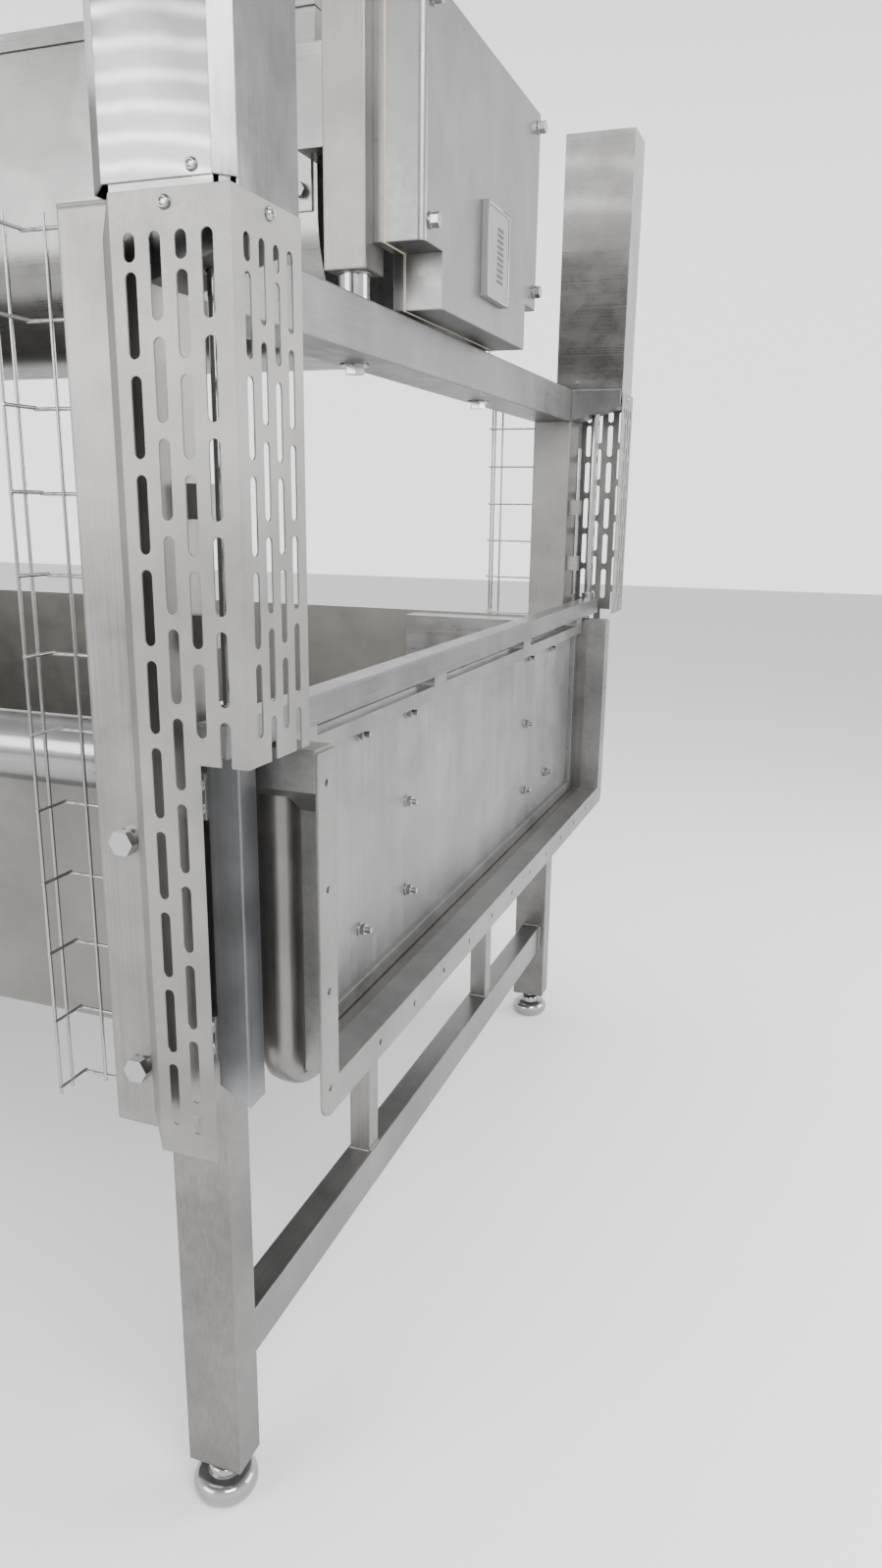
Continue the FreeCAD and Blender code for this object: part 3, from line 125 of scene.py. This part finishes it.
def soft_light(name, place, aim, size, watts):
    lamp = bpy.data.lights.new(name, "AREA")
    lamp.shape = "RECTANGLE"
    lamp.size, lamp.size_y = size
    lamp.energy = watts
    light = bpy.data.objects.new(name, lamp)
    bpy.context.scene.collection.objects.link(light)
    light.location = place
    light.rotation_euler = (Vector(aim) - Vector(place)).to_track_quat("-Z", "Y").to_euler()


def lay_floor():
    bpy.ops.object.select_all(action="DESELECT")
    bpy.ops.mesh.primitive_plane_add(size=FLOOR_SIZE)
    floor = bpy.context.active_object
    floor.name = "studio_floor"
    paint = bpy.data.materials.new("pale_floor")
    paint.use_nodes = True
    shader = paint.node_tree.nodes["Principled BSDF"]
    shader.inputs["Base Color"].default_value = FLOOR_TONE
    shader.inputs["Roughness"].default_value = 0.85
    floor.data.materials.append(paint)


light_dome()
for light in LIGHTS:
    soft_light(*light)
lay_floor()
print("studio ready")

# %% [markdown]
# Every steel finish shares one recipe: fine grain stretched along the polishing direction, slow cloudy
# shading that is partly smudges from handling and grinding and partly painted reflection, a roughness
# that follows both, and softened edges.

# %% Steel finishes
def noise(tree, vector, scale, detail, rough=0.6):
    node = tree.nodes.new("ShaderNodeTexNoise")
    node.inputs["Scale"].default_value = scale
    node.inputs["Detail"].default_value = detail
    node.inputs["Roughness"].default_value = rough
    tree.links.new(vector, node.inputs["Vector"])
    return node.outputs["Fac"]


def remap(tree, value, low, high, start=0.3, end=0.7):
    node = tree.nodes.new("ShaderNodeMapRange")
    node.inputs["From Min"].default_value = start
    node.inputs["From Max"].default_value = end
    node.inputs["To Min"].default_value = low
    node.inputs["To Max"].default_value = high
    tree.links.new(value, node.inputs["Value"])
    return node.outputs["Result"]


def combine(tree, operation, first, second):
    node = tree.nodes.new("ShaderNodeMath")
    node.operation = operation
    for socket, value in zip(node.inputs, (first, second)):
        if isinstance(value, (int, float)):
            socket.default_value = value
        else:
            tree.links.new(value, socket)
    return node.outputs["Value"]


def new_finish(name, metallic):
    finish = bpy.data.materials.new(name)
    finish.use_nodes = True
    tree = finish.node_tree
    shader = tree.nodes["Principled BSDF"]
    shader.inputs["Metallic"].default_value = metallic
    return finish, tree, shader


ARC_START, ARC_RISE = 1.13, 0.95


def arched_height(tree, place):
    """The height, raised a little towards the object's end, so that level bands come out as arcs."""
    split = tree.nodes.new("ShaderNodeSeparateXYZ")
    tree.links.new(place, split.inputs["Vector"])
    from_edge = combine(tree, "SUBTRACT", split.outputs["X"], ARC_START)
    arc = combine(tree, "MULTIPLY", combine(tree, "MULTIPLY", from_edge, from_edge), ARC_RISE)
    level = tree.nodes.new("ShaderNodeCombineXYZ")
    tree.links.new(split.outputs["X"], level.inputs["X"])
    tree.links.new(combine(tree, "ADD", split.outputs["Z"], arc), level.inputs["Z"])
    return level.outputs["Vector"]


def painted_reflection_bands(tree, place, depth, scale):
    """Painted reflection: light bands painted into the colour of the front face, standing in for the
    lights that rolled sheet reflects where it isn't quite flat.
    """
    waves = tree.nodes.new("ShaderNodeTexWave")
    waves.bands_direction = "Z"
    waves.wave_profile = "SIN"
    waves.inputs["Scale"].default_value = scale
    waves.inputs["Distortion"].default_value = 2.4
    waves.inputs["Detail"].default_value = 2.0
    waves.inputs["Detail Scale"].default_value = 0.7
    tree.links.new(arched_height(tree, place), waves.inputs["Vector"])
    narrow = combine(tree, "POWER", waves.outputs["Fac"], 2.6)
    bands = remap(tree, narrow, -depth * 0.5, depth, 0.0, 1.0)
    fading = remap(tree, noise(tree, place, 3.2, 2), 0.25, 1.0, 0.42, 0.58)
    bands = combine(tree, "MULTIPLY", bands, fading)
    facing = tree.nodes.new("ShaderNodeSeparateXYZ")
    surface = tree.nodes.new("ShaderNodeNewGeometry")
    tree.links.new(surface.outputs["True Normal"], facing.inputs["Vector"])
    front = remap(tree, combine(tree, "ABSOLUTE", facing.outputs["Y"], 0.0), 0.0, 1.0, 0.85, 0.95)
    return combine(tree, "ADD", combine(tree, "MULTIPLY", bands, front), 1.0)


SHADE = 0.62  # every tone is written for dimmer lights than these


def steel(name, tone, rough, grain, streak, cloud, edge, bump, smears=0.0, metallic=0.92,
          bands=0.0, band_scale=11.5, reflection_patches=0.0):
    """Ground or brushed sheet. grain stretches the streaks: the smallest number is their direction."""
    finish, tree, shader = new_finish(name, metallic)
    place = tree.nodes.new("ShaderNodeTexCoord").outputs["Object"]
    stretch = tree.nodes.new("ShaderNodeMapping")
    stretch.inputs["Scale"].default_value = grain
    tree.links.new(place, stretch.inputs["Vector"])
    streaks = noise(tree, stretch.outputs["Vector"], 1.0, 5, 0.7)
    # real smudges mixed with painted reflection: slow large noise that lightens and darkens the colour
    smudges_and_sheen = noise(tree, place, 3.4, 4)
    spots = noise(tree, place, 14.0, 4, 0.65)
    light = combine(tree, "MULTIPLY", remap(tree, streaks, 1 - streak, 1 + streak),
                    remap(tree, smudges_and_sheen, 1 - cloud * 1.3, 1 + cloud * 1.3))
    light = combine(tree, "MULTIPLY", light, remap(tree, spots, 1 - cloud * 0.5, 1 + cloud * 0.35))
    if smears:
        marks = noise(tree, place, 5.5, 6, 0.75)
        light = combine(tree, "SUBTRACT", light, remap(tree, marks, 0.0, smears, 0.56, 0.72))
    # painted reflection: light bands painted into the base colour of the covers' front faces
    if bands:
        light = combine(tree, "MULTIPLY", light, painted_reflection_bands(tree, place, bands, band_scale))
    # painted reflection: large soft light and dark areas painted into the colour of the covers and the
    # vessel
    if reflection_patches:
        reflection_shapes = noise(tree, place, 5.0, 1, 0.4)
        light = combine(tree, "MULTIPLY", light,
                        remap(tree, reflection_shapes, 1 - reflection_patches, 1 + reflection_patches * 0.4, 0.46, 0.54))
    tint = tree.nodes.new("ShaderNodeVectorMath")
    tint.operation = "SCALE"
    tint.inputs[0].default_value = [value * SHADE for value in tone]
    tree.links.new(light, tint.inputs["Scale"])
    tree.links.new(tint.outputs["Vector"], shader.inputs["Base Color"])
    dull = combine(tree, "ADD", remap(tree, streaks, rough - 0.05, rough + 0.06),
                   remap(tree, spots, -0.04, 0.06))
    tree.links.new(dull, shader.inputs["Roughness"])
    rounded = tree.nodes.new("ShaderNodeBevel")
    rounded.samples = 4
    rounded.inputs["Radius"].default_value = edge
    relief = tree.nodes.new("ShaderNodeBump")
    relief.inputs["Strength"].default_value = bump
    relief.inputs["Distance"].default_value = 0.0006
    tree.links.new(streaks, relief.inputs["Height"])
    tree.links.new(rounded.outputs["Normal"], relief.inputs["Normal"])
    tree.links.new(relief.outputs["Normal"], shader.inputs["Normal"])
    return finish


ALONG_X, ALONG_Y, ALONG_Z = (3, 260, 260), (260, 3, 260), (260, 260, 3)
RECIPES = {
    "tube_upright": dict(tone=(0.335, 0.325, 0.31), rough=0.36, grain=ALONG_Z, streak=0.12,
                         cloud=0.2, edge=0.005, bump=0.12, smears=0.07),
    "tube_cross": dict(tone=(0.31, 0.31, 0.308), rough=0.34, grain=ALONG_Y, streak=0.12,
                       cloud=0.18, edge=0.005, bump=0.12, smears=0.05),
    "tube_leg": dict(tone=(0.285, 0.277, 0.268), rough=0.36, grain=(220, 220, 60), streak=0.16,
                     cloud=0.2, edge=0.005, bump=0.14, smears=0.06),
    "wall_matt": dict(tone=(0.285, 0.275, 0.252), rough=0.48, grain=ALONG_X, streak=0.06,
                      cloud=0.14, edge=0.002, bump=0.08, smears=0.05),
    "rim_bright": dict(tone=(0.42, 0.42, 0.415), rough=0.2, grain=ALONG_X, streak=0.1, cloud=0.16,
                       edge=0.002, bump=0.08),
    "housing_dark": dict(tone=(0.3, 0.292, 0.28), rough=0.37, grain=ALONG_Z, streak=0.12,
                         cloud=0.22, edge=0.002, bump=0.1, smears=0.06),
    "channel_cool": dict(tone=(0.35, 0.358, 0.372), rough=0.38, grain=ALONG_Z, streak=0.1,
                         cloud=0.2, edge=0.004, bump=0.12, smears=0.05),
    "gate_satin": dict(tone=(0.4, 0.4, 0.403), rough=0.42, grain=(150, 150, 2), streak=0.14,
                       cloud=0.16, edge=0.002, bump=0.14, smears=0.06),
    "collar_ground": dict(tone=(0.37, 0.365, 0.355), rough=0.4, grain=(120, 120, 120),
                          streak=0.12, cloud=0.18, edge=0.002, bump=0.16, smears=0.08),
    "guard_blasted": dict(tone=(0.375, 0.367, 0.352), rough=0.44, grain=(300, 300, 260),
                          streak=0.05, cloud=0.16, edge=0.001, bump=0.1, smears=0.1),
    # painted reflection: the covers' light bands and the large light and dark areas on the covers and the
    # vessel
    "cover_polished": dict(tone=(0.35, 0.346, 0.34), rough=0.17, grain=(260, 260, 30),
                           streak=0.05, cloud=0.22, edge=0.002, bump=0.05, smears=0.05, bands=1.7,
                           reflection_patches=0.3),
    "cover_brushed": dict(tone=(0.36, 0.353, 0.342), rough=0.28, grain=(3, 3, 340), streak=0.09,
                          cloud=0.24, edge=0.002, bump=0.08, bands=0.3, band_scale=3.0),
    "vessel_satin": dict(tone=(0.37, 0.363, 0.353), rough=0.3, grain=ALONG_X, streak=0.08,
                         cloud=0.18, edge=0.002, bump=0.08, smears=0.05, reflection_patches=0.14),
    "case_smooth": dict(tone=(0.315, 0.312, 0.307), rough=0.33, grain=(60, 60, 60), streak=0.04,
                        cloud=0.18, edge=0.004, bump=0.05, smears=0.05),
    "polished": dict(tone=(0.52, 0.52, 0.515), rough=0.13, grain=(90, 90, 90), streak=0.05,
                     cloud=0.1, edge=0.001, bump=0.03),
    "bright_wire": dict(tone=(0.48, 0.475, 0.465), rough=0.18, grain=(200, 200, 200), streak=0.06,
                        cloud=0.06, edge=0.001, bump=0.03),
    "barrel": dict(tone=(0.32, 0.33, 0.34), rough=0.36, grain=ALONG_Z, streak=0.05, cloud=0.06,
                   edge=0.002, bump=0.05),
    "plate": dict(tone=(0.36, 0.36, 0.355), rough=0.4, grain=(200, 200, 200), streak=0.04,
                  cloud=0.05, edge=0.002, bump=0.05, metallic=0.5),
}
FINISHES = {name: steel(name, **recipe) for name, recipe in RECIPES.items()}
print(len(FINISHES), "steel finishes")


# %% Finish for each CAD node
FINISH_STARTS = {
    "leg_": "tube_leg", "foot_": "polished", "column_": "tube_upright", "beam_": "tube_cross",
    "stretchers": "tube_cross", "trough_struts": "tube_upright", "trough_rim": "rim_bright",
    "trough_": "wall_matt", "guard_": "guard_blasted", "cylinder_cover_right": "cover_polished",
    "cylinder_cover_left": "cover_brushed", "lift_cylinder": "barrel",
    "lift_bracket": "tube_cross", "lift_bar": "tube_cross", "piston_rod": "polished",
    "guide_rods": "polished", "guide_channels": "channel_cool", "corner_clamps": "collar_ground",
    "cable_tray": "bright_wire", "gate_housing": "housing_dark",
    "discharge_collar": "collar_ground", "rim_boxes": "collar_ground",
    "overflow_box": "vessel_satin", "gate_studs": "polished", "gate_panel": "gate_satin",
    "gate_": "collar_ground", "vessel_posts": "tube_upright", "vessel_": "vessel_satin",
    "post_spacers": "polished", "case_": "case_smooth", "nameplate": "plate",
    "frame_bolts": "polished",
}


def finish_of(node):
    """The first start that fits decides, so the longer ones come before the shorter."""
    starts = (start for start in FINISH_STARTS if node.startswith(start))
    return FINISHES[FINISH_STARTS[next(starts)]]


for node, thing in NODES.items():
    for place in thing.material_slots:
        place.material = finish_of(node)
print("finishes given to", len(NODES), "nodes")

# %% [markdown]
# Plain paints for the small pieces: rubber, a dark print for the blank plate's bars, and weld metal
# with its heat tint.

# %% Rubber, print and weld metal
def grained(name, tone, rough, scale, depth, metallic=0.0):
    finish, tree, shader = new_finish(name, metallic)
    place = tree.nodes.new("ShaderNodeTexCoord").outputs["Object"]
    grain = noise(tree, place, scale, 4)
    tint = tree.nodes.new("ShaderNodeVectorMath")
    tint.operation = "SCALE"
    tint.inputs[0].default_value = tone
    tree.links.new(remap(tree, grain, 1 - depth, 1 + depth), tint.inputs["Scale"])
    tree.links.new(tint.outputs["Vector"], shader.inputs["Base Color"])
    tree.links.new(remap(tree, grain, rough - 0.08, rough + 0.08), shader.inputs["Roughness"])
    return finish


RUBBER = grained("seal_rubber", (0.42, 0.36, 0.27), 0.75, 300, 0.15)
PRINT = grained("dark_print", (0.03, 0.03, 0.032), 0.5, 200, 0.2)
WELD = grained("weld_metal", (0.30, 0.28, 0.25), 0.38, 260, 0.35, 0.9)
print("small finishes ready")

# %% [markdown]
# Each small piece starts as a primitive at the origin. It is shaped there, then turned and moved, and
# its place ends up in its mesh.

# %% Shaping helpers
def start_fresh():
    if bpy.context.object and bpy.context.object.mode != "OBJECT":
        bpy.ops.object.mode_set(mode="OBJECT")
    bpy.ops.object.select_all(action="DESELECT")


def settle(piece):
    """Apply the piece's modifiers and its place, so that the object itself sits at the origin."""
    start_fresh()
    bpy.context.view_layer.objects.active = piece
    piece.select_set(True)
    for change in list(piece.modifiers):
        bpy.ops.object.modifier_apply(modifier=change.name)
    bpy.ops.object.transform_apply(location=True, rotation=True, scale=True)


def join(name, pieces, finish, body="frame", smooth=35):
    """One object from several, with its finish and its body."""
    start_fresh()
    for piece in pieces:
        piece.select_set(True)
    bpy.context.view_layer.objects.active = pieces[0]
    if len(pieces) > 1:
        bpy.ops.object.join()
    whole = bpy.context.view_layer.objects.active
    whole.name = name
    bpy.ops.object.transform_apply(location=True, rotation=True, scale=True)
    bpy.ops.object.shade_smooth_by_angle(angle=math.radians(smooth))
    if finish:
        whole.data.materials.clear()
        whole.data.materials.append(finish)
    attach(whole, body)
    return whole


def aim(piece, place, way):
    piece.rotation_euler = Vector(way).to_track_quat("Z", "Y").to_euler()
    piece.location = place
    settle(piece)
    return piece


def bevelled(piece, width, segments=2):
    change = piece.modifiers.new("edge", "BEVEL")
    change.width = width
    change.segments = segments
    change.limit_method = "ANGLE"
    settle(piece)
    return piece


# %% [markdown]
# Button screws hold the guards to the covers' tabs: a flat dome with a sunk socket, drawn round rather
# than as a hexagon.

# %% Button screws
DOME_HEIGHT, SOCKET_INSET, SOCKET_DEPTH, DOME_TAPER, DOME_EDGE = 0.62, 0.52, 0.34, 0.72, 0.10
GUARD_SIDE_Y, GUARD_END_X, COLUMN_INNER_Y = 1.061, 1.2725, 0.9165


def button_screw(place, way, radius):
    start_fresh()
    bpy.ops.mesh.primitive_cylinder_add(vertices=24, radius=radius, depth=radius * DOME_HEIGHT)
    dome = bpy.context.active_object
    bpy.ops.object.mode_set(mode="EDIT")
    bpy.ops.mesh.select_all(action="DESELECT")
    bpy.ops.object.mode_set(mode="OBJECT")
    for face in dome.data.polygons:
        face.select = face.normal.z > 0.9
    bpy.ops.object.mode_set(mode="EDIT")
    bpy.ops.mesh.inset(thickness=radius * SOCKET_INSET)
    bpy.ops.mesh.extrude_region_move(
        TRANSFORM_OT_translate={"value": (0, 0, -radius * SOCKET_DEPTH)})
    bpy.ops.object.mode_set(mode="OBJECT")
    for vertex in dome.data.vertices:
        if vertex.co.z > radius * 0.3 and vertex.co.xy.length > radius * 0.9:
            vertex.co.xy *= DOME_TAPER
        vertex.co.z += radius * DOME_HEIGHT / 2
    bevelled(dome, radius * DOME_EDGE, 2)
    return aim(dome, place, way)


screws = []
for side in (-1, 1):
    out = (0, side, 0)
    screws.append(button_screw((1.1978, side * GUARD_SIDE_Y, 1.783), out, 0.0076))
    screws.append(button_screw((GUARD_END_X, side * 0.9865, 1.784), (1, 0, 0), 0.0076))
    screws.append(button_screw((1.2304, side * GUARD_SIDE_Y, 1.8135), out, 0.0070))
    screws.append(button_screw((1.148, side * COLUMN_INNER_Y, 1.822), (0, -side, 0), 0.0055))
join("button_screws", screws, FINISHES["polished"])
print(len(screws), "button screws")


# %% [markdown]
# Hexagon bolts fix the guide channels' clamps to the columns.

# %% Clamp bolts
HEAD_THICKNESS, WASHER_THICKNESS, WASHER_RATIO = 0.009, 0.002, 1.15
CLAMP_X, CLAMP_Y, CLAMP_HEIGHTS = 1.1435, 0.962, (0.810, 0.840, 1.135, 1.165)


def clamp_bolt(place, way, corner=0.0085):
    start_fresh()
    bpy.ops.mesh.primitive_cylinder_add(vertices=6, radius=corner, depth=HEAD_THICKNESS,
                                        location=(0, 0, HEAD_THICKNESS / 2))
    head = bevelled(bpy.context.active_object, 0.0010, 2)
    start_fresh()
    bpy.ops.mesh.primitive_cylinder_add(vertices=24, radius=corner * WASHER_RATIO, depth=WASHER_THICKNESS,
                                        location=(0, 0, WASHER_THICKNESS / 2))
    washer = bevelled(bpy.context.active_object, 0.0005, 2)
    start_fresh()
    head.select_set(True)
    washer.select_set(True)
    bpy.context.view_layer.objects.active = head
    bpy.ops.object.join()
    return aim(bpy.context.active_object, place, way)


bolts = []
for side in (-1, 1):
    for z in CLAMP_HEIGHTS:
        bolts.append(clamp_bolt((CLAMP_X, side * CLAMP_Y, z), (0, side, 0)))
join("clamp_bolts", bolts, FINISHES["polished"])
print(len(bolts), "clamp bolts")

# %% [markdown]
# Weld beads: overlapping drops of metal along each seam.

# %% Weld beads
BEAD_SIZE = 0.0024
BEAD_STEP = BEAD_SIZE * 0.95


def weld_bead(start, end):
    start, end = Vector(start), Vector(end)
    length = (end - start).length
    start_fresh()
    bpy.ops.mesh.primitive_uv_sphere_add(segments=8, ring_count=6, radius=BEAD_SIZE)
    drop = bpy.context.active_object
    drop.scale = (1.0, 1.0, 0.75)
    settle(drop)
    row = drop.modifiers.new("row", "ARRAY")
    row.use_relative_offset = False
    row.use_constant_offset = True
    row.constant_offset_displace = (0, 0, BEAD_STEP)
    row.count = max(2, int(length / BEAD_STEP))
    settle(drop)
    return aim(drop, start, end - start)


def tube_seams(x, y, z):
    """The seams round a strut's foot or head: x and y are its two faces, z the seam's height."""
    return [((x[1], y[0], z), (x[1], y[1], z)), ((x[0], y[0], z), (x[0], y[1], z)),
            ((x[0], y[0], z), (x[1], y[0], z)), ((x[0], y[1], z), (x[1], y[1], z))]


seams = []
cross_low, cross_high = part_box("stretchers")
STRUT_X, STRUT_Y, STRUT_TOP = (1.0725, 1.1125), (0.342, 0.382), 0.722
INFEED_SHIFT = -0.135
LEG_INNER_Y, CROSS_TUBES_X = 0.856, ((1.1175, 1.0675), (-1.2525, -1.2025))
for side in (-1, 1):
    inner = side * LEG_INNER_Y
    for front, back in CROSS_TUBES_X:
        seams += [((front, inner, cross_low.z), (front, inner, cross_high.z)),
                  ((back, inner, cross_high.z), (front, inner, cross_high.z)),
                  ((back, inner, cross_low.z), (front, inner, cross_low.z))]
    for z in (cross_high.z, STRUT_TOP):
        seams += tube_seams(STRUT_X, [side * y for y in STRUT_Y], z)
        seams += tube_seams([INFEED_SHIFT - x for x in STRUT_X], [side * y for y in STRUT_Y], z)
join("weld_beads", [weld_bead(*seam) for seam in seams], WELD, smooth=60)
print(len(seams), "weld seams")

# %% [markdown]
# Ring welds at the vessel posts' round spacers.

# %% Ring welds
POST_X, POST_Y, RING_HEIGHTS = (1.066, -1.201), (-0.326, 0.326), (1.8045, 1.8615)
RING_RADIUS, RING_BEAD = 0.0255, 0.0019


def ring_weld(place):
    start_fresh()
    bpy.ops.mesh.primitive_torus_add(major_segments=40, minor_segments=8, major_radius=RING_RADIUS,
                                     minor_radius=RING_BEAD, location=place)
    ring = bpy.context.active_object
    ripple = ring.modifiers.new("ripple", "DISPLACE")
    ripple.strength = 0.0008
    ripple.texture = bpy.data.textures.new("ripple", "CLOUDS")
    ripple.texture.noise_scale = 0.006
    settle(ring)
    return ring


rings = [ring_weld((x, y, z)) for x in POST_X for y in POST_Y for z in RING_HEIGHTS]
join("ring_welds", rings, WELD, smooth=60)
print(len(rings), "ring welds")

# %% [markdown]
# The drive case's seal shows as a pale cord in the seam between tray and cover.

# %% Case seal
SEAL_X, SEAL_RADIUS = 1.122, 0.0022
SEAL_PATH = [(-0.246, 1.816), (0.246, 1.816), (0.246, 1.904), (0.332, 1.904), (0.332, 2.274),
             (-0.332, 2.274), (-0.332, 1.904), (-0.246, 1.904)]  # y and z of its corners


def case_seal():
    cord = bpy.data.curves.new("case_seal", "CURVE")
    cord.dimensions = "3D"
    cord.bevel_depth = SEAL_RADIUS
    cord.bevel_resolution = 2
    run = cord.splines.new("POLY")
    run.points.add(len(SEAL_PATH) - 1)
    run.use_cyclic_u = True
    for point, (y, z) in zip(run.points, SEAL_PATH):
        point.co = (SEAL_X, y, z, 1)
    seal = bpy.data.objects.new("case_seal", cord)
    bpy.context.scene.collection.objects.link(seal)
    start_fresh()
    seal.select_set(True)
    bpy.context.view_layer.objects.active = seal
    bpy.ops.object.convert(target="MESH")
    return join("case_seal", [bpy.context.active_object], RUBBER)


case_seal()
print("case seal in place")

# %% [markdown]
# The plate on the case is blank: a raised border and a column of plain dark bars.

# %% Blank plate
BAR_INWARD, BAR_DOWN = 0.076, 0.036
BAR_SIZE, BAR_PITCH, BAR_COUNT = (0.0008, 0.036, 0.0058), 0.0098, 10
BORDER_WIDTH, BORDER_HEIGHT = 0.006, 0.0016


def plate_bars():
    low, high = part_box("nameplate")
    start_fresh()
    bpy.ops.mesh.primitive_cube_add(size=1, location=(high.x, low.y + BAR_INWARD, high.z - BAR_DOWN))
    bar = bpy.context.active_object
    bar.scale = BAR_SIZE
    settle(bar)
    column = bar.modifiers.new("column", "ARRAY")
    column.use_relative_offset = False
    column.use_constant_offset = True
    column.constant_offset_displace = (0, 0, -BAR_PITCH)
    column.count = BAR_COUNT
    settle(bar)
    return join("plate_bars", [bevelled(bar, 0.0002, 1)], PRINT)


def plate_border():
    low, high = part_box("nameplate")
    middle = (low + high) / 2
    start_fresh()
    bpy.ops.mesh.primitive_plane_add(size=1)
    border = bpy.context.active_object
    border.scale = (high.z - low.z, high.y - low.y, 1)
    bpy.ops.object.transform_apply(location=True, rotation=True, scale=True)
    bpy.ops.object.mode_set(mode="EDIT")
    bpy.ops.mesh.select_all(action="SELECT")
    bpy.ops.mesh.inset(thickness=BORDER_WIDTH)
    bpy.ops.mesh.delete(type="FACE")
    bpy.ops.mesh.select_all(action="SELECT")
    bpy.ops.mesh.extrude_region_move(TRANSFORM_OT_translate={"value": (0, 0, BORDER_HEIGHT)})
    bpy.ops.mesh.select_all(action="SELECT")
    bpy.ops.mesh.normals_make_consistent(inside=False)
    bpy.ops.object.mode_set(mode="OBJECT")
    bevelled(border, 0.0005, 2)
    border.rotation_euler = (0, math.radians(90), 0)
    border.location = (high.x, middle.y, middle.z)
    return join("plate_border", [border], FINISHES["polished"])


plate_bars()
plate_border()
print("plate finished")

# %% [markdown]
# The levelling feet are turned: a full round disc, a smaller collar and a neck. They turn with their
# own bodies.

# %% Levelling feet
FOOT_PROFILE = [(0.0, 0.0), (0.036, 0.0), (0.0425, 0.0035), (0.0475, 0.01), (0.0498, 0.018),
                (0.0495, 0.026), (0.0465, 0.0335), (0.041, 0.0385), (0.034, 0.0405),
                (0.029, 0.04), (0.0262, 0.0412), (0.0255, 0.046), (0.0248, 0.0505),
                (0.0225, 0.054), (0.018, 0.056), (0.0135, 0.0565), (0.0125, 0.058),
                (0.0125, 0.0676), (0.0098, 0.0676), (0.0098, 0.107),
                (0.0, 0.107)]  # radius and height


def turned_foot(node):
    low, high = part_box(node)
    axis_x, axis_y = (low.x + high.x) / 2, (low.y + high.y) / 2
    mesh = bpy.data.meshes.new(node + "_turned")
    mesh.from_pydata([(radius, 0, height) for radius, height in FOOT_PROFILE],
                     [(i, i + 1) for i in range(len(FOOT_PROFILE) - 1)], [])
    foot = bpy.data.objects.new(node + "_turned", mesh)
    bpy.context.scene.collection.objects.link(foot)
    start_fresh()
    foot.select_set(True)
    bpy.context.view_layer.objects.active = foot
    bpy.ops.object.mode_set(mode="EDIT")
    bpy.ops.mesh.select_all(action="SELECT")
    bpy.ops.mesh.spin(steps=64, angle=2 * math.pi, center=(0, 0, 0), axis=(0, 0, 1))
    bpy.ops.mesh.select_all(action="SELECT")
    bpy.ops.mesh.remove_doubles(threshold=0.00005)
    bpy.ops.mesh.normals_make_consistent(inside=False)
    bpy.ops.object.mode_set(mode="OBJECT")
    foot.location = (axis_x, axis_y, 0)
    join(node + "_turned", [foot], FINISHES["polished"], body=node, smooth=50)
    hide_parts(node)


for node in [name for name in NODES if name.startswith("foot_")]:
    turned_foot(node)
print("four feet turned")
